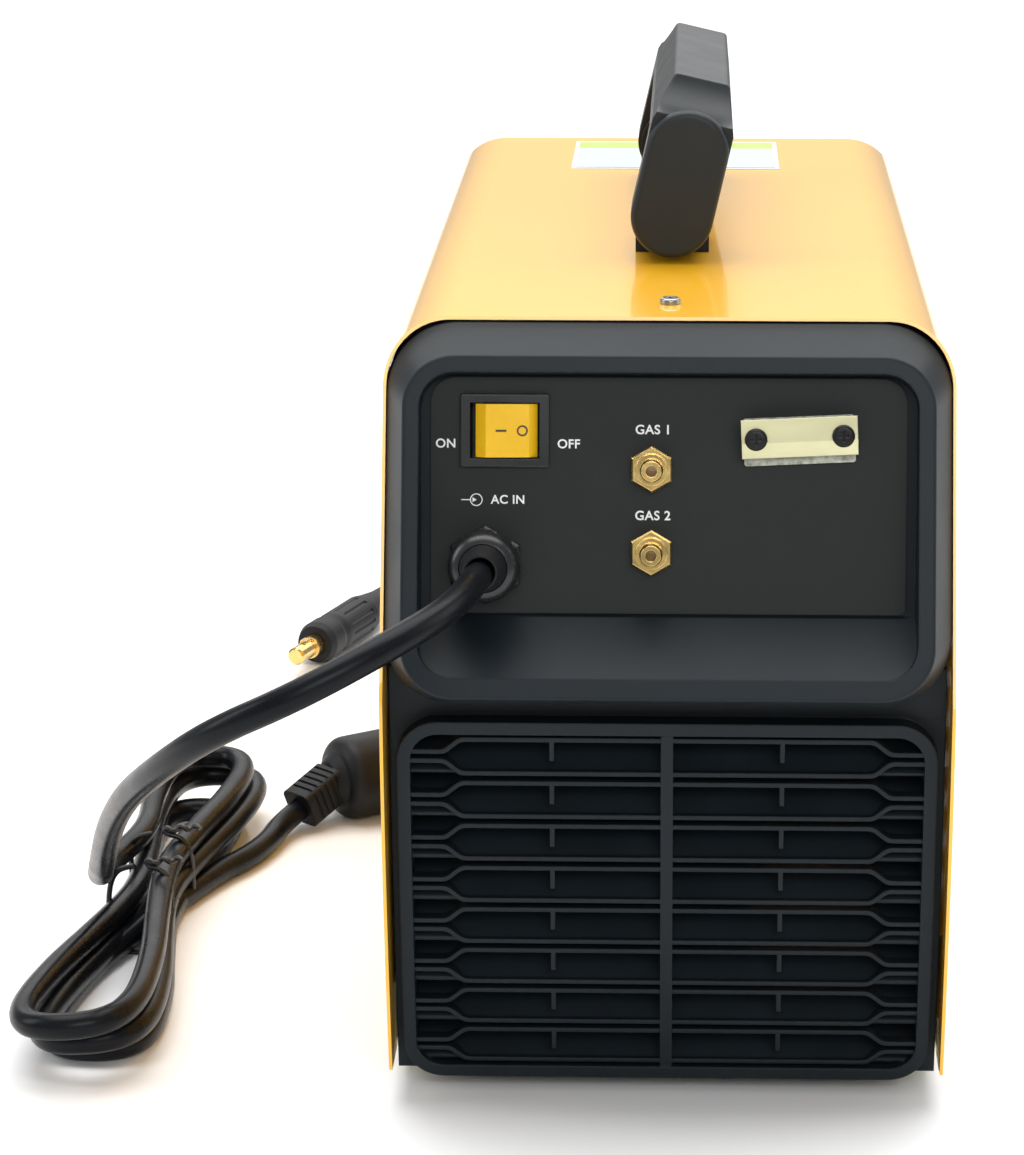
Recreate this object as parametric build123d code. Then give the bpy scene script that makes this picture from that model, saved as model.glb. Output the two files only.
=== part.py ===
from build123d import *
import math
import os

# Portable inverter machine for plasma cutting and wire welding, in millimetres.
# +Z is up, +X is the machine's right seen from behind, +Y points at its front.
# The origin is on the resting plane, under the middle of the housing.

# ---------------------------------------------------------------- driving dimensions
COVER_WIDTH = 200.0            # outside of the sheet cover
COVER_RADIUS = 23.0            # long top edges of the cover
SHEET = 1.2                    # cover and door sheet
TOP_HALF_LENGTH = 202.0        # half length of the cover's top
COVER_TOP_Z = 284.0            # cover top above the resting plane
KINK_DROP = 128.0              # end edge: widest point, below the cover top
KINK_OUT = 46.0                # end edge: how far the widest point stands out
EDGE_FOOT_DROP = 272.0         # end edge: bottom tip, below the cover top
EDGE_FOOT_OUT = 29.0
FIT = 0.4                      # clearance between parts that slide into each other
GAP = 0.3                      # clearance between parts that only lie close
RUNNING = 0.05                 # radial clearance of pins and shafts
PIN_SEAT = 0.02                # radial clearance of a pin in the part that holds it

# upper end bezels (same moulding at both ends)
RIM_TOP_OUT = 25.0
RIM_TOP_DROP = 8.7
RIM_FOOT_OUT = 60.0
RIM_FOOT_DROP = 121.5
RIM_WIDTH = 183.0
RIM_RADIUS = 18.0
RIDGE_ROUND = 1.2
BEZEL_WALL = 2.5
OPENING_WIDTH = 171.8
OPENING_TOP_DROP = 14.0
OPENING_FOOT_DROP = 114.5
OPENING_RADIUS = 12.0
SKIRT_DEPTH = 14.0

# recessed panel of each upper bezel
PANEL_TILT = 10.5              # degrees, facing up
PANEL_TOP_OUT = 18.6
PANEL_TOP_DROP = 17.5
PANEL_WIDTH = 165.0
PANEL_HEIGHT = 82.0
PANEL_THICK = 1.5
PANEL_SEAT = 0.05              # clearance behind the panel

# lower end mouldings
LOWER_WIDTH = 190.0
LOWER_TOP_DROP = 137.5
LOWER_TOP_OUT = 36.0
LOWER_FOOT_DROP = 277.7
LOWER_FOOT_OUT = 20.0
LOWER_BULGE = 3.4
LOWER_RADIUS = 14.5
LOWER_RIM = 4.6
LOWER_DEPTH = 12.0
FLANGE_REACH = 3.0             # back flange beyond the rim, at the sides
FLANGE_RISE = 18.0             # back flange above the rim, behind the bezel
SLAT_LENGTH = 18.2
SLAT_TILT = 39.6
SLAT_DEPTH = 11.0              # middle of a slat behind the face
RIB_BEND = 5.0
CELL_COUNT = 8
CELL_HEIGHT = 14.2
CELL_GAP = 2.1
RIB = 1.6

# base and feet
FOOT_HEIGHT = 6.0
FOOT_RADIUS = 11.0
FOOT_X = 78.0
FOOT_Y = TOP_HALF_LENGTH - 37.0
TRAY_THICK = 1.5
TRAY_HALF_LENGTH = TOP_HALF_LENGTH + 4.0
TRAY_FLANGE = 30.0

# folding carrying handle
HANDLE_LEAN = 13.0             # degrees to the right at rest
PIVOT_HEIGHT = 17.5            # pivot axis above the cover
HANDLE_HALF = 104.0            # to the outer face of the end caps
CAP_THICK = 4.0
ARM_THICK = 20.0
ARM_WIDTH = 31.0
ARM_RISE = 25.0                # pivot to the centre of the arm's upper round
GRIP_TOP = 49.5                # grip top above the pivot
GRIP_TOP_WIDTH = 21.0
GRIP_THICK = 22.0
GRIP_SHOULDER = 27.0           # cap face to the near end of the grip's flat top
PIVOT_PIN_RADIUS = 4.0
EAR_THICK = 4.0
HANDLE_BRACKET_WIDTH = 28.0

# power switch
SWITCH_X = -56.7
SWITCH_V = 18.5
SWITCH_WIDTH = 31.0
SWITCH_HEIGHT = 25.5
SWITCH_RIM = 2.0
ROCKER_WIDTH = 24.0
ROCKER_HEIGHT = 19.3
ROCKER_TRAVEL = 16.0
ROCKER_CROWN = 6.9             # flat of the rocker above its axle
ROCKER_LIP = 3.2

# mains inlet
GLAND_X = -63.3
GLAND_V = PANEL_HEIGHT - 17.0
GLAND_THREAD_RADIUS = 8.0
GLAND_HEX = 24.0
GLAND_LOCKNUT = 20.0
CORD_DIAMETER = 10.0

# gas inlets
GAS_X = -5.8
GAS_V = (PANEL_HEIGHT - 50.5, PANEL_HEIGHT - 21.5)
GAS_HEX = 14.0
GAS_THREAD_RADIUS = 4.8
GAS_BORE_RADIUS = 1.9
GAS_NOSE_RADIUS = 4.0
GAS_NOSE_LENGTH = 9.0

# regulator clamp
CLAMP_X = 45.0
CLAMP_V = 20.0
CLAMP_TURN = 2.7
CLAMP_SCREW_PITCH = 30.0
CLAMP_SHEET = 1.5

# side door
DOOR_HALF_LENGTH = TOP_HALF_LENGTH - 32.0
DOOR_FOOT_Z = 28.0
DOOR_TOP_Z = 224.0
DOOR_GAP = 1.5
HINGE_RADIUS = 3.6
HINGE_PIN_RADIUS = 1.8
LATCH_Z = 78.0

# front controls and sockets, places measured on their panels
KNOB_X = (-34.0, 34.0)
KNOB_V = 54.0
KNOB_RADIUS = 14.0
BUTTON_X = (-14.0, 14.0)
BUTTON_V = 34.0
BUTTON_RADIUS = 4.5
BUTTON_TRAVEL = 1.2
DISPLAY_WIDTH = 62.0
DISPLAY_HEIGHT = 17.0
DISPLAY_V = 14.5
SOCKET_X = (-8.0, 48.0)
SOCKET_Z = 42.0
SOCKET_BORE_RADIUS = 4.6
TORCH_X = 46.0
TORCH_Z = 104.0
PLASMA_X = -12.0
PLASMA_Z = 104.0
LEAD_X = -58.0
LEAD_Z = 60.0
LEAD_DIAMETER = 11.0
LEAD_PIN_RADIUS = SOCKET_BORE_RADIUS - 0.1

# inside
PARTITION_X = 22.0
FAN_SIZE = 112.0
FAN_DEPTH = 25.0
FAN_X = -40.0
FAN_Z = 78.0
SPOOL_RADIUS = 92.0
SPOOL_WIDTH = 52.0
SPOOL_Y = -90.0
SPOOL_Z = 118.0
HUB_RADIUS = 24.5
FEED_Y = 100.0
FEED_Z = 92.0
ROLL_RADIUS = 15.0

# ---------------------------------------------------------------- sizes that several parts share
SCREW_Y = TOP_HALF_LENGTH - 24.0
TOP_SCREW_HEAD = 3.7
SCREW_HEAD_HEIGHT = 2.2
HEAD_REACH = 2.25
LABEL_Y = TOP_HALF_LENGTH - 50.0
LABEL_WIDTH = 90.0
LABEL_LENGTH = 75.0
BRACKET_SCREW_Y = 60.0
SIDE_SCREW_Y = TOP_HALF_LENGTH - 14.0
SIDE_SCREW_Z = 19.0
FOOT_NECK = 5.0
HINGE_X = COVER_WIDTH / 2 - SHEET - HINGE_RADIUS - 0.6
HINGE_Y = DOOR_HALF_LENGTH - HINGE_RADIUS - 2.0
HINGE_Z = (DOOR_FOOT_Z + 40, DOOR_TOP_Z - 40)
LATCH_Y = -DOOR_HALF_LENGTH + 10.5
LATCH_SHAFT = 2.5
CLAMP_SCREW_RADIUS = 2.0
CLAMP_GAP = 6.0
ROCKER_PIVOT = -4.0
FRONT_PLATE_OUT = 9.0
SOCKET_BODY = 13.0
TORCH_BODY = 18.0
PLASMA_BODY = 11.0
LEAD_GLAND_BODY = 9.0
WIRE_GAP = 0.8
ARM_PIVOT_Y = FEED_Y + 36.0
ARM_PIVOT_Z = FEED_Z + 2 * ROLL_RADIUS + WIRE_GAP
PLUG_NECK = (-149.0, 72.0, 18.7)
PLUG_DIRECTION = (0.82, 0.572, 0.0)
LEAD_PLUG_BACK = (-149.8, 395.1, 11.2)
LEAD_PLUG_DIRECTION = (-0.327, -0.945, 0.0)

# ---------------------------------------------------------------- where the cords lie
MAINS_ROUTE = [
    (-63.3, -244.0, 204.8),
    (-63.3, -268.0, 208.8),
    (-70.0, -298.0, 206.0),
    (-91.0, -325.0, 199.5),
    (-119.0, -338.0, 187.0),
    (-148.0, -331.0, 172.0),
    (-170.0, -303.0, 150.0),
    (-187.0, -262.0, 126.6),
    (-202.0, -210.0, 96.4),
    (-215.0, -152.0, 61.0),
    (-225.0, -100.0, 37.0),
    (-229.0, -62.0, 27.0),
]

TAIL_ROUTE = [
    (-206.0, -34.0, 6.3),
    (-192.0, -14.0, 6.2),
    (-180.0, 6.0, 6.0),
    (-173.0, 27.0, 6.2),
    (-170.0, 44.0, 7.5),
    (-163.0, 57.0, 10.2),
]

LEAD_ROUTE = [
    (-58.0, 206.0, 60.0),
    (-58.0, 258.0, 60.0),
    (-55.0, 310.0, 43.0),
    (-42.0, 358.0, 18.0),
    (-37.0, 404.0, 6.2),
    (-52.0, 433.0, 6.0),
    (-81.0, 448.0, 6.0),
    (-113.0, 444.5, 6.5),
    (-139.0, 423.5, 8.4),
    (-150.8, 392.3, 11.3),
]

HANK_MIDDLE = (-216.0, -62.0)
HANK_LENGTH = 336.0
HANK_WIDTH = 60.0
HANK_HEIGHT = 32.0
HANK_TURN = -3.0

# ---------------------------------------------------------------- derived frames
EDGE_SLOPE = math.degrees(math.atan(KINK_OUT / KINK_DROP))
RIM_SLOPE = math.degrees(math.atan((RIM_FOOT_OUT - RIM_TOP_OUT) / (RIM_FOOT_DROP - RIM_TOP_DROP)))


def rear_point(out, drop):
    """(y, z) of a point that stands out from the rear top edge and lies below the cover top."""
    return (-(TOP_HALF_LENGTH + out), COVER_TOP_Z - drop)


def tilted_plane(out, drop, tilt):
    """Rear plane through a point, its normal pointing backwards and up, local +Y running up."""
    y, z = rear_point(out, drop)
    turn = math.radians(tilt)
    return Plane(origin=(0, y, z), x_dir=(1, 0, 0), z_dir=(0, -math.cos(turn), math.sin(turn)))


REAR_PANEL = tilted_plane(PANEL_TOP_OUT, PANEL_TOP_DROP, PANEL_TILT)
FRONT_PANEL = Plane(
    origin=(0, -REAR_PANEL.origin.Y, REAR_PANEL.origin.Z),
    x_dir=(-1, 0, 0),
    z_dir=(0, math.cos(math.radians(PANEL_TILT)), math.sin(math.radians(PANEL_TILT))),
)


def on_panel(panel, x, v, out=0.0):
    """Frame on a panel's face: x across, v below its top edge, out along its normal."""
    return panel * Pos(x, -v, out)


def across_x(outline, x_low, x_high):
    """Prism along X from an outline of (y, z) points."""
    face = make_face(Polyline(*outline, close=True))
    return Pos(x_low, 0, 0) * extrude(Plane.YZ * face, amount=x_high - x_low)


def along_y(sketch, y_low, y_high):
    """Prism along Y from a sketch in (x, z)."""
    return Pos(0, y_high, 0) * extrude(Plane.XZ * sketch, amount=y_high - y_low)


def rod_x(radius, x_low, x_high, y, z):
    return Pos((x_low + x_high) / 2, y, z) * Rot(0, 90, 0) * Cylinder(radius, x_high - x_low)


def rod_y(radius, y_low, y_high, x, z):
    return Pos(x, (y_low + y_high) / 2, z) * Rot(90, 0, 0) * Cylinder(radius, y_high - y_low)


def block(x_low, x_high, y_low, y_high, z_low, z_high):
    size = (x_high - x_low, y_high - y_low, z_high - z_low)
    middle = ((x_low + x_high) / 2, (y_low + y_high) / 2, (z_low + z_high) / 2)
    return Pos(*middle) * Box(*size)


def both_ends(piece):
    return Compound(children=[piece, mirror(piece, about=Plane.XZ)])


def lower_face_arc(depth):
    """Curved outline of the lower mouldings in (y, z), moved inwards by depth."""
    top = rear_point(LOWER_TOP_OUT - depth, LOWER_TOP_DROP - 3)
    foot = rear_point(LOWER_FOOT_OUT - depth, LOWER_FOOT_DROP + 3)
    middle_out = (LOWER_TOP_OUT + LOWER_FOOT_OUT) / 2 + LOWER_BULGE - depth
    middle = rear_point(middle_out, (LOWER_TOP_DROP + LOWER_FOOT_DROP) / 2)
    return top, middle, foot


def lower_slab(depth_out, depth_in):
    """Curved slab behind the lower face, between two depths."""
    top_a, middle_a, foot_a = lower_face_arc(depth_out)
    top_b, middle_b, foot_b = lower_face_arc(depth_in)
    outline = [
        ThreePointArc(top_a, middle_a, foot_a),
        Line(foot_a, foot_b),
        ThreePointArc(foot_b, middle_b, top_b),
        Line(top_b, top_a),
    ]
    face = Plane.YZ * make_face(outline)
    return Pos(-COVER_WIDTH / 2, 0, 0) * extrude(face, amount=COVER_WIDTH)


# ---------------------------------------------------------------- cover, door and base
def end_profile():
    """Side view of the cover: straight down to the widest point, then a convex return."""
    inset = COVER_TOP_Z + 1
    top = rear_point(-KINK_OUT / KINK_DROP, -1)
    kink = rear_point(KINK_OUT, KINK_DROP)
    foot = rear_point(EDGE_FOOT_OUT, EDGE_FOOT_DROP)
    middle = rear_point((KINK_OUT + EDGE_FOOT_OUT) / 2 + 4.5, (KINK_DROP + EDGE_FOOT_DROP) / 2)
    half = make_face(
        [
            Line((0, inset), top),
            Line(top, kink),
            ThreePointArc(kink, middle, foot),
            Line(foot, (0, foot[1])),
            Line((0, foot[1]), (0, inset)),
        ]
    )
    rear = Pos(-COVER_WIDTH, 0, 0) * extrude(Plane.YZ * half, amount=2 * COVER_WIDTH)
    return rear + mirror(rear, about=Plane.XZ)


def cover_shell():
    height = COVER_TOP_Z + COVER_RADIUS
    outer = Pos(0, COVER_TOP_Z - height / 2) * RectangleRounded(COVER_WIDTH, height, COVER_RADIUS)
    inner = Pos(0, COVER_TOP_Z - SHEET - height / 2) * RectangleRounded(
        COVER_WIDTH - 2 * SHEET, height, COVER_RADIUS - SHEET
    )
    reach = TOP_HALF_LENGTH + KINK_OUT + 10
    return along_y(outer - inner, -reach, reach) & end_profile()


def door_outline(grow):
    return Pos((COVER_WIDTH - SHEET) / 2, 0, (DOOR_FOOT_Z + DOOR_TOP_Z) / 2) * Box(
        6 * SHEET,
        2 * (DOOR_HALF_LENGTH + grow),
        DOOR_TOP_Z - DOOR_FOOT_Z + 2 * grow,
    )


def vent_slots():
    """Two groups of vertical air slots in the left wall."""
    slots = []
    for row_z in (88, 150):
        for column in range(9):
            y = -150 + 13 * column
            slot = SlotOverall(40, 4, rotation=90)
            face = Plane(origin=(-COVER_WIDTH / 2 - 2, y, row_z), x_dir=(0, 1, 0), z_dir=(1, 0, 0))
            slots.append(extrude(face * slot, amount=6))
    return slots


def make_cover():
    cover = cover_shell() - door_outline(DOOR_GAP)
    for slot in vent_slots():
        cover -= slot
    for y in (-1, 1):
        cover -= Pos(0, y * SCREW_Y, COVER_TOP_Z) * Cylinder(2.1, 10)
        for x in (-1, 1):
            cover -= Pos(x * 8, y * BRACKET_SCREW_Y, COVER_TOP_Z) * Cylinder(2.1, 10)
    for x in (-1, 1):
        for y in (-1, 1):
            cover -= rod_x(2.1, x * COVER_WIDTH / 2 - 5, x * COVER_WIDTH / 2 + 5, y * SIDE_SCREW_Y, SIDE_SCREW_Z)
    return cover


def make_side_door():
    inside = COVER_WIDTH / 2 - SHEET
    panel = block(inside, COVER_WIDTH / 2, -DOOR_HALF_LENGTH, DOOR_HALF_LENGTH, DOOR_FOOT_Z, DOOR_TOP_Z)
    stiffener = 8.0
    depth = inside - stiffener
    frame = block(
        depth, inside, -DOOR_HALF_LENGTH + 26, DOOR_HALF_LENGTH - 14, DOOR_FOOT_Z + 4, DOOR_TOP_Z - 4
    ) - block(
        depth - 1,
        inside,
        -DOOR_HALF_LENGTH + 26 + SHEET,
        DOOR_HALF_LENGTH - 14 - SHEET,
        DOOR_FOOT_Z + 4 + SHEET,
        DOOR_TOP_Z - 4 - SHEET,
    )
    door = panel + frame
    for z in HINGE_Z:
        knuckle = rod_z(HINGE_RADIUS, z - 9, z + 9, HINGE_X, HINGE_Y)
        arm = block(HINGE_X - HINGE_RADIUS, inside, HINGE_Y - 12, HINGE_Y, z - 9, z + 9)
        door += arm + knuckle
        door -= rod_z(HINGE_PIN_RADIUS + RUNNING, z - 12, z + 12, HINGE_X, HINGE_Y)
    door -= rod_x(LATCH_SHAFT + RUNNING, inside - 3, inside + 5, LATCH_Y, LATCH_Z)
    return door


def rod_z(radius, z_low, z_high, x, y):
    return Pos(x, y, (z_low + z_high) / 2) * Cylinder(radius, z_high - z_low)


def make_hinge_pins():
    """Two pins, each in a lug that reaches round the door's edge to the cover's inner face."""
    pieces = []
    wall = COVER_WIDTH / 2 - SHEET - 0.01
    back = HINGE_X - 14
    for z in HINGE_Z:
        low = z - 17
        high = z - 11
        pin = rod_z(HINGE_PIN_RADIUS, low, z + 12, HINGE_X, HINGE_Y)
        boss = rod_z(HINGE_RADIUS, low, high, HINGE_X, HINGE_Y)
        bar = block(back, HINGE_X, HINGE_Y - HINGE_RADIUS, HINGE_Y + 2.5, low, high)
        bar += block(back, back + 3, HINGE_Y - HINGE_RADIUS, HINGE_Y + 16, low, high)
        bar += block(back, wall, HINGE_Y + 13, HINGE_Y + 16, low, high)
        pieces.append(pin + boss + bar)
    return Compound(children=pieces)


def make_door_latch():
    """Quarter-turn latch: slotted round head outside, tongue that turns behind the cover's edge."""
    outside = COVER_WIDTH / 2
    crown = outside + HEAD_REACH
    head = rod_x(7.0, outside + GAP, crown, LATCH_Y, LATCH_Z)
    head = fillet(head.edges().sort_by(Axis.X)[-1], 0.9)
    head -= block(crown - 1.2, crown + 1, LATCH_Y - 0.8, LATCH_Y + 0.8, LATCH_Z - 5, LATCH_Z + 5)
    shaft = rod_x(LATCH_SHAFT, outside - SHEET - 3.2, outside + 1, LATCH_Y, LATCH_Z)
    tongue_x = outside - SHEET
    tongue = block(tongue_x - 3.0, tongue_x - GAP, LATCH_Y - 4, LATCH_Y + 4, LATCH_Z - 5, LATCH_Z + 16)
    return head + shaft + tongue


def make_base_tray():
    half_width = COVER_WIDTH / 2 - SHEET - FIT
    foot = FOOT_HEIGHT
    tray = block(-half_width, half_width, -TRAY_HALF_LENGTH, TRAY_HALF_LENGTH, foot, foot + TRAY_THICK)
    left = block(-half_width, -half_width + TRAY_THICK, -TRAY_HALF_LENGTH, TRAY_HALF_LENGTH, foot, foot + TRAY_FLANGE)
    low_right = DOOR_FOOT_Z - 4 - foot
    right = block(half_width - TRAY_THICK, half_width, -TRAY_HALF_LENGTH, TRAY_HALF_LENGTH, foot, foot + low_right)
    tray += left + right
    for x in (-1, 1):
        for y in (-1, 1):
            tray -= Pos(x * FOOT_X, y * FOOT_Y, foot) * Cylinder(FOOT_NECK, 10)
            tray -= rod_x(1.6, x * half_width - 4, x * half_width + 4, y * SIDE_SCREW_Y, SIDE_SCREW_Z)
    return tray


def make_feet():
    feet = []
    for x in (-1, 1):
        for y in (-1, 1):
            pad = Cone(FOOT_RADIUS - 1.5, FOOT_RADIUS, FOOT_HEIGHT)
            pad = Pos(0, 0, FOOT_HEIGHT / 2) * pad
            neck = Pos(0, 0, FOOT_HEIGHT + TRAY_THICK / 2) * Cylinder(FOOT_NECK, TRAY_THICK)
            lip = Pos(0, 0, FOOT_HEIGHT + TRAY_THICK + 1.5) * Cone(FOOT_NECK + 2, FOOT_NECK - 0.5, 3)
            feet.append(Pos(x * FOOT_X, y * FOOT_Y, 0) * (pad + neck + lip))
    return Compound(children=feet)


# ---------------------------------------------------------------- end mouldings
def sloped_section(plane, width, top_drop, foot_drop, slope, radius):
    """Rounded rectangle on a sloped rear plane, between two levels."""
    length = (foot_drop - top_drop) / math.cos(math.radians(slope))
    return plane * Pos(0, -length / 2) * RectangleRounded(width, length, radius)


def bezel_body(inset, front_inset):
    """Outer form of an upper bezel: skirt inside the cover, then a tapered hood."""
    edge_top = 1.9 + inset
    edge_foot = KINK_DROP - 0.5 - inset
    edge_plane = tilted_plane(KINK_OUT * edge_top / KINK_DROP, edge_top, EDGE_SLOPE)
    width = COVER_WIDTH - 2 * (SHEET + FIT) - 2 * inset
    root = sloped_section(edge_plane, width, edge_top, edge_foot, EDGE_SLOPE, COVER_RADIUS + 1.5 - inset)
    rim_plane = tilted_plane(rim_out(RIM_TOP_DROP + inset) - front_inset, RIM_TOP_DROP + inset, RIM_SLOPE)
    rim = sloped_section(
        rim_plane, RIM_WIDTH - 2 * inset, RIM_TOP_DROP + inset, RIM_FOOT_DROP - inset, RIM_SLOPE, RIM_RADIUS - inset
    )
    hood = loft([root, rim])
    skirt = extrude(root, amount=SKIRT_DEPTH + front_inset * 4, dir=(0, 1, 0))
    return hood + skirt


def rim_out(drop):
    """How far the rim plane stands out at a level."""
    share = (drop - RIM_TOP_DROP) / (RIM_FOOT_DROP - RIM_TOP_DROP)
    return RIM_TOP_OUT + share * (RIM_FOOT_OUT - RIM_TOP_OUT)


def recess_space(grow):
    """The hollow in front of the panel: rounded opening, panel seat and sloped floor."""
    plane = tilted_plane(rim_out(OPENING_TOP_DROP - grow) + 6, OPENING_TOP_DROP - grow - 1.8, RIM_SLOPE)
    length = (OPENING_FOOT_DROP - OPENING_TOP_DROP + 2 * grow) / math.cos(math.radians(RIM_SLOPE))
    opening = RectangleRounded(OPENING_WIDTH + 2 * grow, length, OPENING_RADIUS + grow)
    well = extrude(plane * Pos(0, -length / 2) * opening, amount=-60)
    lean = math.tan(math.radians(PANEL_TILT))
    seat_out = PANEL_TOP_OUT - (PANEL_THICK + PANEL_SEAT + grow) / math.cos(math.radians(PANEL_TILT))
    foot_drop = PANEL_TOP_DROP + PANEL_HEIGHT * math.cos(math.radians(PANEL_TILT)) + 0.5
    floor_slope = (OPENING_FOOT_DROP - foot_drop) / (rim_out(OPENING_FOOT_DROP) - seat_out - lean * PANEL_HEIGHT)
    top = rear_point(seat_out - lean * PANEL_TOP_DROP, 0)
    corner_out = seat_out + lean * (foot_drop - PANEL_TOP_DROP)
    corner = rear_point(corner_out, foot_drop + grow)
    far = 45.0
    end = rear_point(corner_out + far, foot_drop + grow + far * floor_slope)
    outline = [top, corner, end, (end[0], top[1])]
    return well & across_x(outline, -COVER_WIDTH, COVER_WIDTH)


def make_upper_bezel():
    body = bezel_body(0.0, 0.0)
    ridge = [edge for edge in body.edges() if near_rim(edge.center())]
    shell = fillet(ridge, RIDGE_ROUND) - recess_space(0.0)
    hollow = bezel_body(BEZEL_WALL, BEZEL_WALL) - recess_space(BEZEL_WALL)
    shell -= hollow
    window = on_panel(REAR_PANEL, 0, PANEL_HEIGHT / 2, -8) * Box(PANEL_WIDTH - 14, PANEL_HEIGHT - 14, 16)
    shell -= window
    return shell


def near_rim(point):
    """True on the rim plane, where the hood's front edge lies."""
    drop = COVER_TOP_Z - point.Z
    return abs(-point.Y - TOP_HALF_LENGTH - rim_out(drop)) < 0.4


def panel_blank():
    plate = Rectangle(PANEL_WIDTH, PANEL_HEIGHT)
    plate = fillet(plate.vertices().group_by(Axis.Y)[-1], OPENING_RADIUS - 3)
    plate = fillet(plate.vertices().group_by(Axis.Y)[0], 2.5)
    return Pos(0, -PANEL_HEIGHT / 2, -PANEL_THICK) * extrude(plate, amount=PANEL_THICK - GAP / 3)


def make_rear_panel():
    plate = panel_blank()
    plate -= Pos(SWITCH_X, -SWITCH_V, 0) * Box(SWITCH_WIDTH - 3, SWITCH_HEIGHT - 3, 10)
    plate -= Pos(GLAND_X, -GLAND_V, 0) * Cylinder(GLAND_THREAD_RADIUS + 0.2, 10)
    for v in GAS_V:
        plate -= Pos(GAS_X, -v, 0) * Cylinder(GAS_THREAD_RADIUS + 0.1, 10)
    for x in (-1, 1):
        plate -= clamp_place(x * CLAMP_SCREW_PITCH / 2, 0, 0) * Cylinder(CLAMP_SCREW_RADIUS, 10)
    return REAR_PANEL * plate


def rib_cell(inset):
    """Outline of one long grille cell: a wide middle that steps down to narrow tails."""
    half = CELL_HEIGHT / 2 - inset
    tail = 2.5 - inset
    reach = LOWER_WIDTH / 2 - LOWER_RIM + 0.6
    shoulder = reach - 12.4 - inset * 0.3
    start = shoulder - 5.6
    points = [
        (-reach, tail),
        (-shoulder, tail),
        (-start, half),
        (start, half),
        (shoulder, tail),
        (reach, tail),
        (reach, -tail),
        (shoulder, -tail),
        (start, -half),
        (-start, -half),
        (-shoulder, -tail),
        (-reach, -tail),
    ]
    face = make_face(Polyline(*points, close=True))
    bends = [v for v in face.vertices() if abs(v.X) < reach - 1]
    return fillet(bends, RIB_BEND)


def lower_opening_height():
    return LOWER_FOOT_DROP - LOWER_TOP_DROP - 2 * LOWER_RIM


def grille_pattern():
    """Ribs seen from behind, on the (x, z) plane."""
    pitch = CELL_HEIGHT + CELL_GAP
    middle = COVER_TOP_Z - (LOWER_TOP_DROP + LOWER_FOOT_DROP) / 2
    ring = rib_cell(0.0) - rib_cell(RIB)
    stub = Pos(0, CELL_HEIGHT / 2 - 4.3) * Rectangle(RIB, 8.6)
    cells = []
    for row in range(CELL_COUNT):
        z = middle + (row - (CELL_COUNT - 1) / 2) * pitch
        cells.append(Pos(0, z) * ring)
        for side in (-1, 1):
            cells.append(Pos(side * 40.5, z) * stub)
    bar = Pos(0, middle) * Rectangle(4.3, lower_opening_height() + 2)
    return cells, bar


def lower_frame_outline(shrink, radius):
    middle = COVER_TOP_Z - (LOWER_TOP_DROP + LOWER_FOOT_DROP) / 2
    height = LOWER_FOOT_DROP - LOWER_TOP_DROP
    return Pos(0, middle) * RectangleRounded(LOWER_WIDTH - 2 * shrink, height - 2 * shrink, radius)


def lower_frame():
    """Rounded rim with a square flange behind it."""
    reach = TOP_HALF_LENGTH + KINK_OUT
    ring = lower_frame_outline(0, LOWER_RADIUS) - lower_frame_outline(LOWER_RIM, LOWER_RADIUS - LOWER_RIM)
    rim = along_y(ring, -reach, -TOP_HALF_LENGTH + 20) & lower_slab(0, LOWER_DEPTH)
    flange = lower_frame_outline(-FLANGE_REACH, 1.5) - lower_frame_outline(LOWER_RIM, LOWER_RADIUS - LOWER_RIM)
    back = along_y(flange, -reach, -TOP_HALF_LENGTH + 20) & lower_slab(LOWER_DEPTH - 3, LOWER_DEPTH)
    clip = block(-COVER_WIDTH, COVER_WIDTH, -400, 0, FOOT_HEIGHT + 0.1, COVER_TOP_Z)
    half = LOWER_WIDTH / 2 + FLANGE_REACH
    back_y = -(TOP_HALF_LENGTH + LOWER_TOP_OUT - LOWER_DEPTH)
    low = COVER_TOP_Z - LOWER_TOP_DROP
    riser = block(-half, half, back_y - 3, back_y, low, low + FLANGE_RISE)
    return ((rim + back) & clip) + riser


def make_rear_grille():
    reach = TOP_HALF_LENGTH + KINK_OUT
    cells, bar = grille_pattern()
    ribs = lower_slab(1.2, 7.0)
    bar_slab = lower_slab(0.8, 9.5)
    grille = lower_frame()
    pattern = Sketch() + cells
    grille += along_y(pattern, -reach, -TOP_HALF_LENGTH + 20) & ribs
    grille += along_y(bar, -reach, -TOP_HALF_LENGTH + 20) & bar_slab
    inner = along_y(lower_frame_outline(LOWER_RIM - 0.5, LOWER_RADIUS - LOWER_RIM), -reach, -TOP_HALF_LENGTH + 20)
    pitch = CELL_HEIGHT + CELL_GAP
    middle = COVER_TOP_Z - (LOWER_TOP_DROP + LOWER_FOOT_DROP) / 2
    zone = lower_slab(3.5, SLAT_DEPTH + 8) & inner
    for row in range(CELL_COUNT):
        z = middle + (row - (CELL_COUNT - 1) / 2) * pitch
        share = (COVER_TOP_Z - z - LOWER_TOP_DROP) / (LOWER_FOOT_DROP - LOWER_TOP_DROP)
        out = LOWER_TOP_OUT + (LOWER_FOOT_OUT - LOWER_TOP_OUT) * share + LOWER_BULGE * 4 * share * (1 - share)
        y = -(TOP_HALF_LENGTH + out - SLAT_DEPTH)
        slat = Pos(0, y, z - 0.8) * Rot(SLAT_TILT, 0, 0) * Box(LOWER_WIDTH, SLAT_LENGTH, 1.2)
        grille += slat & zone
    return grille


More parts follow.
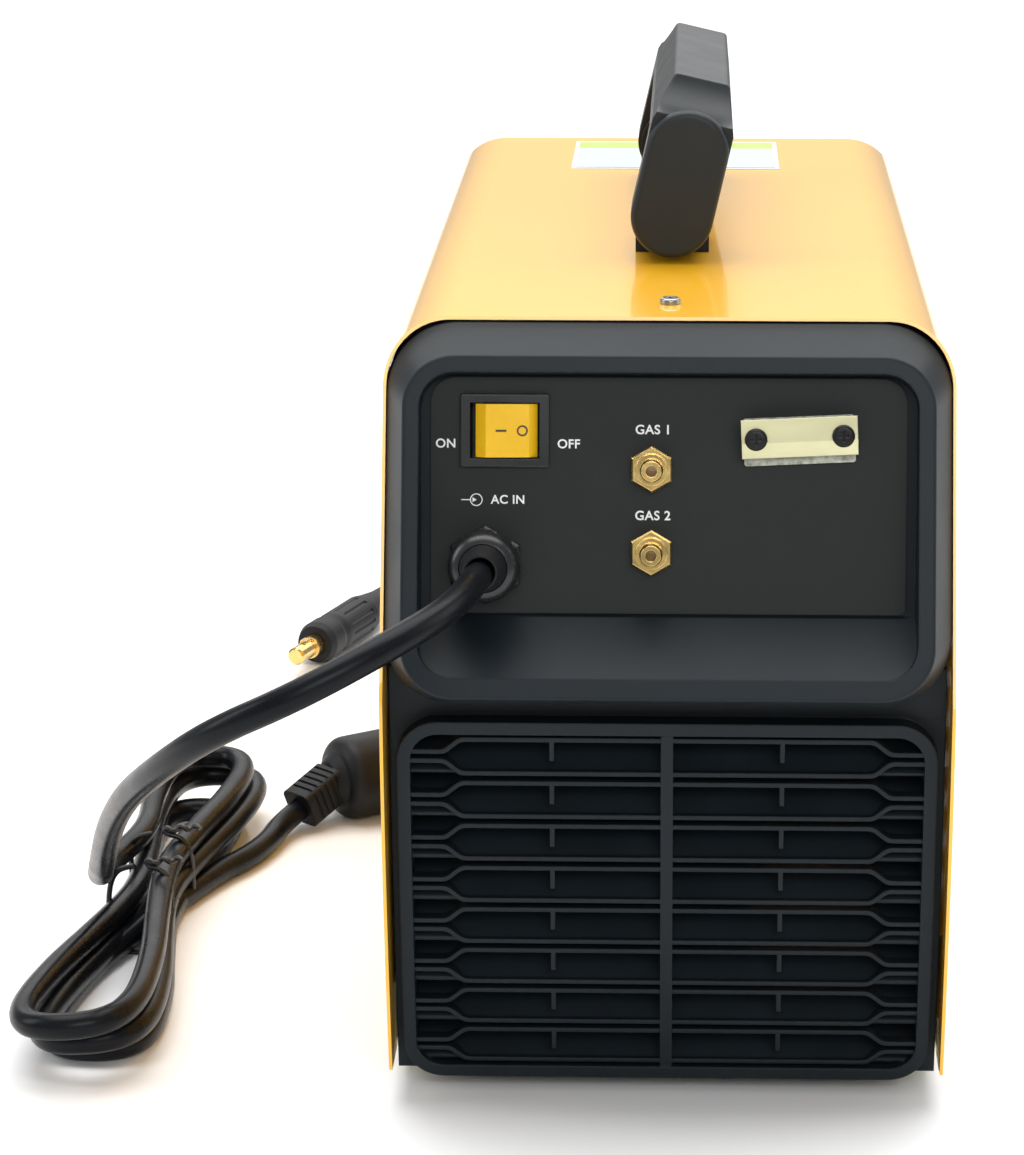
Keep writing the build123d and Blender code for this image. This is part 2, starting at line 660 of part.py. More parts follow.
def make_front_lower_panel():
    """Same rim as the rear, with a skirt that holds the connection plate."""
    reach = TOP_HALF_LENGTH + KINK_OUT
    frame = mirror(lower_frame(), about=Plane.XZ)
    wall = lower_frame_outline(LOWER_RIM - 1, LOWER_RADIUS - LOWER_RIM + 1) - lower_frame_outline(
        LOWER_RIM + 1.4, LOWER_RADIUS - LOWER_RIM - 1.4
    )
    skirt = along_y(wall, TOP_HALF_LENGTH + FRONT_PLATE_OUT - 3, reach) & mirror(lower_slab(1.5, 60), about=Plane.XZ)
    return frame + skirt


def make_connection_plate():
    """Flat plate inside the lower front moulding, with the holes of its connectors and vents."""
    back = TOP_HALF_LENGTH + FRONT_PLATE_OUT - 3
    reach = TOP_HALF_LENGTH + FRONT_PLATE_OUT
    inset = LOWER_RIM + 1.4 + PANEL_SEAT
    plate = along_y(lower_frame_outline(inset, LOWER_RADIUS - inset), back, reach)
    for x in SOCKET_X:
        plate -= rod_y(SOCKET_BODY, 100, reach + 1, x, SOCKET_Z)
    plate -= rod_y(TORCH_BODY, 100, reach + 1, TORCH_X, TORCH_Z)
    plate -= rod_y(PLASMA_BODY, 100, reach + 1, PLASMA_X, PLASMA_Z)
    plate -= rod_y(LEAD_GLAND_BODY, 100, reach + 1, LEAD_X, LEAD_Z)
    for row in range(4):
        slot = SlotOverall(34, 3)
        z = TORCH_Z + 18 - 9 * row
        plate -= along_y(Pos(LEAD_X, z) * slot, TOP_HALF_LENGTH, reach + 1)
    return plate


# ---------------------------------------------------------------- switch, gland, gas inlets
def make_switch_housing():
    """Black frame proud of the panel, snap-in body behind it."""
    frame = extrude(RectangleRounded(SWITCH_WIDTH, SWITCH_HEIGHT, 1.2), amount=SWITCH_RIM)
    frame = fillet(frame.faces().sort_by(Axis.Z)[-1].edges(), 0.5)
    body = Pos(0, 0, -13) * Box(SWITCH_WIDTH - 3.6, SWITCH_HEIGHT - 3.6, 26)
    well = Pos(0, 0, 0) * Box(ROCKER_WIDTH, ROCKER_HEIGHT, 20)
    pins = [Pos(x, 0, -31) * Box(1, 6, 10) for x in (-8, 0, 8)]
    housing = frame + body - well
    for pin in pins:
        housing += pin
    axle_ends = Rot(90, 0, 0) * Cylinder(1.5, ROCKER_HEIGHT + 1.2)
    housing += Pos(0, 0, ROCKER_PIVOT) * axle_ends
    return on_panel(REAR_PANEL, SWITCH_X, SWITCH_V) * housing


def make_switch_rocker():
    """Flat-topped rocker, pressed at its right end; its axle is parallel to the panel's height."""
    half = ROCKER_WIDTH / 2 - 1.3
    tilt = ROCKER_TRAVEL / 2
    crown = ROCKER_CROWN
    points = [
        (-half, crown - 3.4),
        (-half + ROCKER_LIP, crown),
        (half - ROCKER_LIP, crown),
        (half, crown - 2.0),
        (half - 0.8, 1.0),
        (half - 5, -2.6),
        (-half + 5, -2.6),
        (-half + 0.8, 1.0),
    ]
    outline = make_face(Polyline(*points, close=True))
    depth = ROCKER_HEIGHT - 0.8
    rocker = Pos(0, depth / 2, 0) * extrude(Plane.XZ * outline, amount=depth)
    rocker -= Rot(90, 0, 0) * Cylinder(1.5 + RUNNING, ROCKER_HEIGHT + 2)
    pressed = Rot(0, tilt, 0) * rocker
    return on_panel(REAR_PANEL, SWITCH_X, SWITCH_V, ROCKER_PIVOT) * pressed


def hexagon(flats, turn=0.0):
    return Rot(0, 0, turn) * RegularPolygon(flats / 2, 6, major_radius=False)


def make_gland_body():
    """Hexagonal collar against the panel with a hollow threaded barrel through it."""
    collar = extrude(hexagon(GLAND_HEX, 30), amount=5)
    collar = chamfer(collar.faces().sort_by(Axis.Z)[-1].edges(), 0.8)
    barrel = Pos(0, 0, 1.5) * Cylinder(GLAND_THREAD_RADIUS, 23)
    body = collar + barrel - Cylinder(CORD_DIAMETER / 2 + 0.6, 60)
    return on_panel(REAR_PANEL, GLAND_X, GLAND_V) * body


def make_gland_nut():
    """Domed cap nut with grip flutes."""
    profile = make_face(
        [
            Line((CORD_DIAMETER / 2 + 3.4, 18), (CORD_DIAMETER / 2 + 3.4, 13.4)),
            Line((CORD_DIAMETER / 2 + 3.4, 13.4), (GLAND_THREAD_RADIUS + 0.3, 13.4)),
            Line((GLAND_THREAD_RADIUS + 0.3, 13.4), (GLAND_THREAD_RADIUS + 0.3, 5.1)),
            Line((GLAND_THREAD_RADIUS + 0.3, 5.1), (12.4, 5.1)),
            Line((12.4, 5.1), (12.4, 12)),
            ThreePointArc((12.4, 12), (11.3, 15.9), (CORD_DIAMETER / 2 + 3.4, 18)),
        ]
    )
    nut = revolve(Plane.XZ * profile, axis=Axis.Z)
    for flute in range(10):
        nut -= Rot(0, 0, 36 * flute) * Pos(13.1, 0, 8) * Cylinder(1.3, 9)
    return on_panel(REAR_PANEL, GLAND_X, GLAND_V) * nut


def make_panel_locknuts():
    """Nuts behind the rear panel: one for the gland, two for the gas inlets."""
    gland = extrude(hexagon(GLAND_LOCKNUT), amount=4.0) - Cylinder(GLAND_THREAD_RADIUS + 0.05, 20)
    behind = -PANEL_THICK - 4.0 - GAP / 3
    pieces = [on_panel(REAR_PANEL, GLAND_X, GLAND_V, behind) * gland]
    for v in GAS_V:
        nut = extrude(hexagon(GAS_HEX), amount=4.0) - Cylinder(GAS_THREAD_RADIUS + 0.05, 20)
        pieces.append(on_panel(REAR_PANEL, GAS_X, v, behind) * nut)
    return Compound(children=pieces)


def make_cord_sleeve():
    """Tapered rubber strain relief that the cap nut squeezes onto the cord."""
    bore = CORD_DIAMETER / 2 + 0.05
    profile = make_face(
        Polyline(
            (bore, 5.2),
            (bore, 34),
            (bore + 0.9, 34),
            (bore + 1.5, 30),
            (bore + 3.1, 18.5),
            (bore + 3.1, 13.2),
            (GLAND_THREAD_RADIUS - 2.5, 13.0),
            (GLAND_THREAD_RADIUS - 2.5, 5.2),
            close=True,
        )
    )
    sleeve = revolve(Plane.XZ * profile, axis=Axis.Z)
    return on_panel(REAR_PANEL, GLAND_X, GLAND_V) * sleeve


def make_gas_inlets():
    return Compound(children=[gas_inlet(v) for v in GAS_V])


def gas_inlet(v):
    """Brass hose inlet: hexagon, shoulder, barbed nose, threaded tail through the panel."""
    body = extrude(hexagon(GAS_HEX, 30), amount=5)
    body = chamfer(body.faces().sort_by(Axis.Z)[-1].edges(), 0.6)
    body += Pos(0, 0, 6) * Cylinder(5.5, 2)
    step = 5 + 2
    body += Pos(0, 0, step + GAS_NOSE_LENGTH / 2) * Cylinder(GAS_NOSE_RADIUS - 0.5, GAS_NOSE_LENGTH)
    for barb in range(3):
        ring = Cone(GAS_NOSE_RADIUS, GAS_NOSE_RADIUS - 0.6, GAS_NOSE_LENGTH / 3)
        body += Pos(0, 0, step + (barb + 0.5) * GAS_NOSE_LENGTH / 3) * ring
    body += Pos(0, 0, -8) * Cylinder(GAS_THREAD_RADIUS, 16)
    body -= Cylinder(GAS_BORE_RADIUS, 80)
    return on_panel(REAR_PANEL, GAS_X, v) * body


# ---------------------------------------------------------------- regulator clamp
def clamp_place(along, down, out):
    return Pos(CLAMP_X, -CLAMP_V, 0) * Rot(0, 0, CLAMP_TURN) * Pos(along, -down, out)


def make_clamp_back():
    """Flat zinc plate against the panel."""
    plate = extrude(RectangleRounded(38.5, 16.5, 1.0), amount=1.5)
    plate = clamp_place(0, 1.3, GAP / 3) * plate
    for x in (-1, 1):
        plate -= clamp_place(x * CLAMP_SCREW_PITCH / 2, 0, 0) * Cylinder(CLAMP_SCREW_RADIUS, 12)
    return REAR_PANEL * plate


def make_clamp_bar():
    """Front bar of the clamp, its lower half bent back towards the panel."""
    front = CLAMP_GAP + 3.1
    half = 6.75
    profile = Polyline(
        (half, front),
        (-1.5, front),
        (-half, front - 2.6),
        (-half + 0.6, front - 4.0),
        (-1.2, front - CLAMP_SHEET),
        (half, front - CLAMP_SHEET),
        close=True,
    )
    bar = Pos(-20, 0, 0) * extrude(Plane.YZ * make_face(profile), amount=40)
    for x in (-1, 1):
        bar -= Pos(x * CLAMP_SCREW_PITCH / 2, 0, 0) * Cylinder(CLAMP_SCREW_RADIUS + 0.05, 60)
    return REAR_PANEL * (clamp_place(0, 0, 0) * bar)


def pan_screw(head_radius, head_height, shank_radius, shank_length):
    """Cross-recessed pan-head screw, head on +Z, seat at z = 0."""
    head = Pos(0, 0, head_height / 2) * Cylinder(head_radius, head_height)
    head = fillet(head.edges().sort_by(Axis.Z)[-1], head_height * 0.55)
    slot = Pos(0, 0, head_height) * (Box(head_radius, 0.9, 2.0) + Box(0.9, head_radius, 2.0))
    shank = Pos(0, 0, -shank_length / 2) * Cylinder(shank_radius, shank_length)
    return head + shank - slot


def make_clamp_screws():
    screws = []
    for x in (-1, 1):
        screw = pan_screw(3.9, 2.6, CLAMP_SCREW_RADIUS - 0.1, CLAMP_GAP + 14)
        screws.append(REAR_PANEL * (clamp_place(x * CLAMP_SCREW_PITCH / 2, 0, CLAMP_GAP + 3.2) * screw))
    return Compound(children=screws)


def make_cover_screws():
    """Screws of the cover's top and lower corners, and of the handle brackets."""
    screws = bracket_screws()
    for y in (-1, 1):
        screw = pan_screw(TOP_SCREW_HEAD, 2.2, 2.0, 6)
        screws.append(Pos(0, y * SCREW_Y, COVER_TOP_Z + 0.05) * screw)
    for x in (-1, 1):
        for y in (-1, 1):
            screw = Rot(0, 90 * x, 0) * pan_screw(3.7, SCREW_HEAD_HEIGHT, 1.5, 6)
            reach = COVER_WIDTH / 2 + HEAD_REACH - SCREW_HEAD_HEIGHT
            screws.append(Pos(x * reach, y * SIDE_SCREW_Y, SIDE_SCREW_Z) * screw)
    return Compound(children=screws)


def make_top_label():
    """Film label near the front, cut round the cover screw."""
    label = Pos(0, LABEL_Y, COVER_TOP_Z + 0.2) * Box(LABEL_WIDTH, LABEL_LENGTH, 0.3)
    return label - Pos(0, SCREW_Y, COVER_TOP_Z) * Cylinder(TOP_SCREW_HEAD + GAP, 10)


# ---------------------------------------------------------------- handle
def handle_frame():
    """Pivot frame: +Y along the handle, +Z up the leaning arms."""
    return Pos(0, 0, COVER_TOP_Z + PIVOT_HEIGHT) * Rot(0, HANDLE_LEAN, 0)


def arm_section(grow=0.0):
    """Arm and grip seen end on: round foot, straight sides, chamfered flat top."""
    half = ARM_WIDTH / 2 + grow
    sides = make_face(
        Polyline(
            (-half, 0),
            (-half, ARM_RISE + 9),
            (-GRIP_TOP_WIDTH / 2, GRIP_TOP),
            (GRIP_TOP_WIDTH / 2, GRIP_TOP),
            (half, ARM_RISE + 9),
            (half, 0),
            close=True,
        )
    )
    return sides + Circle(half)


def make_handle_grip():
    """Two arms and the bar between them, one moulding."""
    end = HANDLE_HALF - CAP_THICK - GAP / 3
    inner = end - ARM_THICK
    body = along_y(arm_section(), -end, end)
    under = GRIP_TOP - GRIP_THICK
    shoulder = -HANDLE_HALF + GRIP_SHOULDER
    foot = -ARM_WIDTH / 2 - 1
    low = (-end, ARM_RISE + 12)
    high = (shoulder, GRIP_TOP + 0.01)
    cove = ThreePointArc(low, (-end + 0.58 * (end + shoulder), ARM_RISE + 15.2), high)
    half_view = make_face(
        [
            Line((0, foot), (-end, foot)),
            Line((-end, foot), low),
            cove,
            Line(high, (0, GRIP_TOP + 0.01)),
            Line((0, GRIP_TOP + 0.01), (0, foot)),
        ]
    )
    side_view = half_view + mirror(half_view, about=Plane.YZ)
    body &= Pos(-60, 0, 0) * extrude(Plane.YZ * side_view, amount=120)
    window = Pos(0, 0, under - 40) * Box(80, 2 * inner, 80)
    corners = window.edges().filter_by(Axis.X).sort_by(Axis.Z)[-2:]
    body -= fillet(corners, 9)
    body = fillet(body.edges().filter_by(Axis.Y).group_by(Axis.Z)[-1], 2.0)
    for side in (-1, 1):
        low = min(side * (inner - 1), side * (end - 4))
        high = max(side * (inner - 1), side * (end - 4))
        body -= rod_y(PIVOT_PIN_RADIUS + RUNNING, low, high, 0, 0)
    return handle_frame() * body


def make_handle_end_caps():
    """Stadium-shaped covers on the arms' outer faces."""
    shape = Pos(0, ARM_RISE / 2) * SlotCenterToCenter(ARM_RISE, ARM_WIDTH, rotation=90)
    cap = along_y(shape, -HANDLE_HALF, -HANDLE_HALF + CAP_THICK)
    rim = cap.faces().sort_by(Axis.Y)[0].edges()
    cap = fillet(rim, 2.6)
    return handle_frame() * both_ends(cap)


def make_handle_brackets():
    """Two steel brackets: foot on the cover, ear that carries the pivot pin."""
    ear_out = HANDLE_HALF - CAP_THICK - ARM_THICK - GAP / 3 - 1.0
    half = HANDLE_BRACKET_WIDTH / 2
    ear_shape = Pos(0, PIVOT_HEIGHT / 2) * Rectangle(2 * half, PIVOT_HEIGHT) + Pos(0, PIVOT_HEIGHT) * Circle(half)
    ear = along_y(ear_shape, -ear_out, -ear_out + EAR_THICK)
    foot = block(-half, half, -ear_out, -ear_out + 30, 0, 2.5)
    foot = fillet(foot.edges().filter_by(Axis.Z).group_by(Axis.Y)[-1], 4)
    bracket = ear + foot
    bracket -= rod_y(PIVOT_PIN_RADIUS + PIN_SEAT, -ear_out - 2, -ear_out + 8, 0, PIVOT_HEIGHT - 0.05)
    for x in (-1, 1):
        bracket -= Pos(x * 8, -BRACKET_SCREW_Y, 0) * Cylinder(2.1, 12)
    return Pos(0, 0, COVER_TOP_Z + 0.05) * both_ends(bracket)


def bracket_screws():
    screws = []
    for x in (-1, 1):
        for y in (-1, 1):
            screws.append(Pos(x * 8, y * BRACKET_SCREW_Y, COVER_TOP_Z + 2.6) * pan_screw(3.6, 2.0, 2.0, 8))
    return screws


def make_handle_pins():
    """Headed pivot pins, fixed in the bracket ears."""
    ear_out = HANDLE_HALF - CAP_THICK - ARM_THICK - GAP / 3 - 1.0
    inner = ear_out - EAR_THICK
    pin = rod_y(PIVOT_PIN_RADIUS, -(HANDLE_HALF - CAP_THICK - 5), -inner + 2.5, 0, 0)
    pin += rod_y(PIVOT_PIN_RADIUS + 2.5, -inner + 0.02, -inner + 2.5, 0, 0)
    return Pos(0, 0, COVER_TOP_Z + PIVOT_HEIGHT) * both_ends(pin)


# ---------------------------------------------------------------- front controls
def make_front_panel():
    """Tilted control panel and, below it, the upright connection plate."""
    plate = panel_blank()
    plate -= Pos(0, -DISPLAY_V, 0) * Box(DISPLAY_WIDTH - 3, DISPLAY_HEIGHT - 3, 10)
    for x in KNOB_X:
        plate -= Pos(x, -KNOB_V, 0) * Cylinder(3.0 + RUNNING, 10)
    for x in BUTTON_X:
        plate -= Pos(x, -BUTTON_V, 0) * Cylinder(BUTTON_RADIUS + 0.3, 10)
    return Compound(children=[FRONT_PANEL * plate, make_connection_plate()])


def make_display_window():
    window = extrude(RectangleRounded(DISPLAY_WIDTH, DISPLAY_HEIGHT, 1.5), amount=1.2)
    window = fillet(window.faces().sort_by(Axis.Z)[-1].edges(), 0.5)
    plug = Pos(0, 0, -2) * Box(DISPLAY_WIDTH - 3.4, DISPLAY_HEIGHT - 3.4, 4)
    return on_panel(FRONT_PANEL, 0, DISPLAY_V) * (window + plug)


def make_knob(x):
    """Fluted knob with a pointer groove and its shaft."""
    knob = Pos(0, 0, 7.3) * Cone(KNOB_RADIUS, KNOB_RADIUS - 1.5, 14)
    knob = fillet(knob.edges().sort_by(Axis.Z)[-1], 1.2)
    for flute in range(12):
        knob -= Rot(0, 0, 30 * flute) * Pos(KNOB_RADIUS + 0.9, 0, 6) * Cylinder(2.0, 18)
    knob -= Pos(0, KNOB_RADIUS / 2, 14.3) * Box(1.4, KNOB_RADIUS - 2, 1.4)
    knob += Pos(0, 0, -4) * Cylinder(3.0, 12)
    return on_panel(FRONT_PANEL, x, KNOB_V) * knob


def make_button(x):
    button = Pos(0, 0, -0.5) * Cylinder(BUTTON_RADIUS, 6)
    button = fillet(button.edges().sort_by(Axis.Z)[-1], 0.8)
    return on_panel(FRONT_PANEL, x, BUTTON_V) * button


def ring_y(outer, inner, y_low, y_high, x, z):
    return rod_y(outer, y_low, y_high, x, z) - rod_y(inner, y_low - 1, y_high + 1, x, z)


def make_output_sockets():
    """Two bayonet sockets for welding cables: moulded body, brass lining."""
    face = TOP_HALF_LENGTH + FRONT_PLATE_OUT
    pieces = []
    for x in SOCKET_X:
        body = ring_y(SOCKET_BODY + 4, SOCKET_BORE_RADIUS, face + 0.05, face + 9, x, SOCKET_Z)
        body = fillet(body.edges().filter_by(GeomType.CIRCLE).group_by(Axis.Y)[-1], 0.8)
        body += ring_y(SOCKET_BODY - 0.1, SOCKET_BORE_RADIUS, face - 29, face + 1, x, SOCKET_Z)
        body += rod_y(SOCKET_BODY - 4, face - 35, face - 29, x, SOCKET_Z)
        pieces.append(body)
    return Compound(children=pieces)


def make_torch_connector():
    """Central gun connector: round flange, brass face with pilot holes."""
    face = TOP_HALF_LENGTH + FRONT_PLATE_OUT
    body = rod_y(TORCH_BODY + 4, face + 0.05, face + 3, TORCH_X, TORCH_Z)
    body += ring_y(TORCH_BODY - 0.1, TORCH_BODY - 3, face - 14, face + 10, TORCH_X, TORCH_Z)
    body += rod_y(TORCH_BODY - 2, face - 14, face + 1, TORCH_X, TORCH_Z)
    body -= rod_y(4.5, face - 20, face + 20, TORCH_X, TORCH_Z)
    for angle in (30, 150):
        x = TORCH_X + 9 * math.cos(math.radians(angle))
        z = TORCH_Z + 9 * math.sin(math.radians(angle))
        body -= rod_y(1.6, face - 6, face + 4, x, z)
    return body


def make_plasma_connector():
    """Threaded plasma torch outlet with a ring of contact pins."""
    face = TOP_HALF_LENGTH + FRONT_PLATE_OUT
    flange = block(PLASMA_X - 17, PLASMA_X + 17, face + 0.05, face + 2.5, PLASMA_Z - 17, PLASMA_Z + 17)
    flange = fillet(flange.edges().filter_by(Axis.Y), 4)
    body = flange + ring_y(PLASMA_BODY - 0.1, PLASMA_BODY - 2, face - 12, face + 9, PLASMA_X, PLASMA_Z)
    body += rod_y(PLASMA_BODY - 1, face - 12, face, PLASMA_X, PLASMA_Z)
    body -= rod_y(3.0, face - 20, face + 20, PLASMA_X, PLASMA_Z)
    for step in range(6):
        angle = math.radians(60 * step)
        x = PLASMA_X + 6.5 * math.cos(angle)
        z = PLASMA_Z + 6.5 * math.sin(angle)
        body += rod_y(0.9, face - 2, face + 6, x, z)
    return body


# ---------------------------------------------------------------- inside
def make_partition():
    x = PARTITION_X
    length = TRAY_HALF_LENGTH - 26
    floor = FOOT_HEIGHT + TRAY_THICK
    wall = block(x - 1.5, x, -length, length, floor + 0.05, COVER_TOP_Z - 30)
    lip = block(x - 14, x, -length, length, floor + 0.05, floor + 1.55)
    top = block(x - 1.5, x + 12, -length, length, COVER_TOP_Z - 31.5, COVER_TOP_Z - 30)
    wall = wall + lip + top
    wall -= rod_x(HUB_RADIUS / 2, x - 5, x + 5, SPOOL_Y, SPOOL_Z)
    wall -= rod_x(17.0, x - 5, x + 5, FEED_Y, FEED_Z)
    return wall


def make_heat_sink():
    """Finned aluminium block on edge, under the circuit board."""
    low = FOOT_HEIGHT + TRAY_THICK + 6
    sink = block(-88, 8, -60, 90, low + 34, low + 40)
    for fin in range(13):
        x = -86 + 7.5 * fin
        sink += block(x, x + 1.8, -60, 90, low, low + 35)
    return sink


def make_main_board():
    """Circuit board with its power modules."""
    low = FOOT_HEIGHT + TRAY_THICK + 6 + 40 + 0.1
    board = block(-90, 10, -64, 120, low + 12, low + 13.6)
    for y in (-40, 0, 40):
        board += block(-60, -20, y - 12, y + 12, low, low + 12.5)
    return board


def make_capacitors():
    """Smoothing capacitors standing on the board."""
    low = FOOT_HEIGHT + TRAY_THICK + 6 + 40 + 13.75
    cans = []
    for x in (-68, -34):
        for y in (-44, -8):
            can = Pos(x, y, low + 26) * Cylinder(15, 52)
            can = fillet(can.edges().sort_by(Axis.Z)[-1], 1.5)
            cans.append(can)
    return Compound(children=cans)


def make_transformer():
    """Ferrite core with its two windings, standing on the board."""
    low = FOOT_HEIGHT + TRAY_THICK + 6 + 40 + 13.75
    core = block(-78, -6, 30, 62, low, low + 70) - block(-64, -50, 20, 70, low + 14, low + 56)
    core -= block(-34, -20, 20, 70, low + 14, low + 56)
    winding = block(-62, -22, 24, 68, low + 16, low + 54) - block(-50.2, -33.8, 29.8, 62.2, low, low + 80)
    return Compound(children=[core, fillet(winding.edges().filter_by(Axis.Z).group_by(Axis.Y)[-1], 4)])


def fan_y():
    return -(TOP_HALF_LENGTH + LOWER_FOOT_OUT - LOWER_DEPTH - 9)


def make_fan_frame():
    """Square axial fan housing with its motor mount at the front."""
    half = FAN_SIZE / 2
    y_low = fan_y()
    y_high = y_low + FAN_DEPTH
    body = block(FAN_X - half, FAN_X + half, y_low, y_high, FAN_Z - half, FAN_Z + half)
    body = fillet(body.edges().filter_by(Axis.Y), 6)
    body -= rod_y(half - 3, y_low - 1, y_high + 1, FAN_X, FAN_Z)
    for x in (-1, 1):
        for z in (-1, 1):
            body -= rod_y(2.2, y_low - 1, y_high + 1, FAN_X + x * (half - 7), FAN_Z + z * (half - 7))
    stator = rod_y(19, y_high - 4, y_high, FAN_X, FAN_Z)
    stator += rod_y(3.0, y_low + 8, y_high, FAN_X, FAN_Z)
    for arm in range(3):
        spoke = block(-2.5, 2.5, y_high - 4, y_high, 15, half - 2)
        stator += Pos(FAN_X, 0, FAN_Z) * Rot(0, 120 * arm + 20, 0) * spoke
    return body + stator


def make_fan_rotor():
    """Hub and seven twisted blades, turning on the stator's shaft."""
    y_low = fan_y() + 3
    depth = FAN_DEPTH - 9
    hub = rod_y(20, y_low, y_low + depth, FAN_X, FAN_Z)
    hub = fillet(hub.edges().filter_by(GeomType.CIRCLE).sort_by(Axis.Y)[0], 1.5)
    for blade in range(7):
        wing = Rot(0, 0, 32) * Box(2.0, depth * 1.05, FAN_SIZE / 2 - 3 - 2.5 - 17)
        wing = Pos(0, y_low + depth / 2, (17 + FAN_SIZE / 2 - 5.5) / 2) * wing
        hub += Pos(FAN_X, 0, FAN_Z) * Rot(0, blade * 360 / 7, 0) * wing
    hub &= rod_y(FAN_SIZE / 2 - 5.5, y_low, y_low + depth, FAN_X, FAN_Z)
    hub -= rod_y(3.0 + RUNNING, y_low + 3, y_low + depth + 1, FAN_X, FAN_Z)
    return hub


def make_spool_hub():
    """Brake hub bolted through the partition, with its retaining nut."""
    x = PARTITION_X
    hub = rod_x(HUB_RADIUS + 8, x + 0.05, x + 5, SPOOL_Y, SPOOL_Z)
    hub += rod_x(HUB_RADIUS, x + 4, x + 62, SPOOL_Y, SPOOL_Z)
    hub += rod_x(HUB_RADIUS / 2 - 0.2, x - 6, x + 4, SPOOL_Y, SPOOL_Z)
    cap = rod_x(HUB_RADIUS + 4, x + 6 + SPOOL_WIDTH + 1, x + 6 + SPOOL_WIDTH + 8, SPOOL_Y, SPOOL_Z)
    return hub + fillet(cap.edges().filter_by(GeomType.CIRCLE), 1.0)


def make_wire_spool():
    """Reel with its wound wire, free to turn on the hub."""
    x = PARTITION_X + 6
    core = HUB_RADIUS + RUNNING
    reel = rod_x(core + 4, x, x + SPOOL_WIDTH, SPOOL_Y, SPOOL_Z)
    for low in (x, x + SPOOL_WIDTH - 3):
        flange = rod_x(SPOOL_RADIUS, low, low + 3, SPOOL_Y, SPOOL_Z)
        for hole in range(6):
            angle = math.radians(60 * hole)
            y = SPOOL_Y + 50 * math.cos(angle)
            z = SPOOL_Z + 50 * math.sin(angle)
            flange -= rod_x(10, low - 1, low + 4, y, z)
        reel += flange
    reel += rod_x(34, x + 3, x + SPOOL_WIDTH - 3, SPOOL_Y, SPOOL_Z)
    reel -= rod_x(core, x - 1, x + SPOOL_WIDTH + 1, SPOOL_Y, SPOOL_Z)
    return reel


def make_wire_winding():
    x = PARTITION_X + 6
    coil = rod_x(76, x + 3.05, x + SPOOL_WIDTH - 3.05, SPOOL_Y, SPOOL_Z)
    return coil - rod_x(34.05, x, x + SPOOL_WIDTH, SPOOL_Y, SPOOL_Z)


def make_feed_unit():
    """Feeder plate with wire guides and the gear motor behind the partition."""
    x = PARTITION_X
    plate = block(x + 0.05, x + 14, FEED_Y - 34, FEED_Y + 46, FEED_Z - 26, FEED_Z + 16)
    plate = fillet(plate.edges().filter_by(Axis.X), 4)
    motor = rod_x(16.5, x - 40, x + 0.05, FEED_Y, FEED_Z)
    wire_z = FEED_Z + ROLL_RADIUS
    guide_in = rod_y(3.5, FEED_Y - 34, FEED_Y - 14, x + 24, wire_z)
    guide_out = rod_y(3.5, FEED_Y + 14, FEED_Y + 46, x + 24, wire_z)
    posts = block(x + 13, x + 24, FEED_Y - 33, FEED_Y - 22, FEED_Z + 4, wire_z + 2)
    posts += block(x + 13, x + 24, FEED_Y + 22, FEED_Y + 42, FEED_Z + 4, wire_z + 2)
    unit = plate + motor + posts + guide_in + guide_out
    unit -= rod_y(1.0, FEED_Y - 60, FEED_Y + 60, x + 24, wire_z)
    unit += rod_x(5.0, x + 13, x + 32, FEED_Y, FEED_Z)
    unit += rod_x(4.0, x + 13, x + 34, ARM_PIVOT_Y, ARM_PIVOT_Z)
    unit += block(x + 0.05, x + 14, ARM_PIVOT_Y - 8, ARM_PIVOT_Y + 8, FEED_Z + 10, ARM_PIVOT_Z + 8)
    return unit


def make_drive_roll():
    """Grooved roll on the motor's shaft."""
    x = PARTITION_X
    roll = rod_x(ROLL_RADIUS, x + 18, x + 30, FEED_Y, FEED_Z)
    groove = rod_x(ROLL_RADIUS + 1, x + 23.4, x + 24.6, FEED_Y, FEED_Z)
    groove -= rod_x(ROLL_RADIUS - 0.9, x + 23, x + 25, FEED_Y, FEED_Z)
    roll = roll - groove - rod_x(5.0 + RUNNING, x, x + 60, FEED_Y, FEED_Z)
    for step in range(3):
        angle = math.radians(120 * step)
        roll -= rod_x(1.6, x + 27, x + 34, FEED_Y + 10 * math.cos(angle), FEED_Z + 10 * math.sin(angle))
    return roll


def make_pressure_arm():
    """Swinging arm that presses the upper roll onto the wire."""
    x = PARTITION_X
    roll_z = FEED_Z + 2 * ROLL_RADIUS + WIRE_GAP
    arm = block(x + 15.5, x + 17.2, FEED_Y - 34, ARM_PIVOT_Y + 7, roll_z - 6, roll_z + 9)
    arm += block(x + 15.5, x + 31, FEED_Y - 34, FEED_Y - 22, roll_z, roll_z + 9)
    arm += rod_x(8.0, x + 15.5, x + 22, ARM_PIVOT_Y, ARM_PIVOT_Z)
    arm += rod_x(4.0, x + 16, x + 31, FEED_Y, roll_z)
    return arm - rod_x(4.0 + RUNNING, x, x + 60, ARM_PIVOT_Y, ARM_PIVOT_Z)


def make_pressure_roll():
    x = PARTITION_X
    roll_z = FEED_Z + 2 * ROLL_RADIUS + WIRE_GAP
    roll = rod_x(ROLL_RADIUS - 0.2, x + 19, x + 29.5, FEED_Y, roll_z)
    return roll - rod_x(4.0 + RUNNING, x, x + 60, FEED_Y, roll_z)


def make_gas_valves():
    """Two solenoid valves on the inlets' inner ends."""
    valves = []
    for v in GAS_V:
        body = Pos(0, 0, -24) * Box(20, 20, 15.9)
        coil = Pos(0, 0, -42) * Cylinder(9.5, 20)
        valves.append(on_panel(REAR_PANEL, GAS_X, v) * (body + coil))
    return Compound(children=valves)


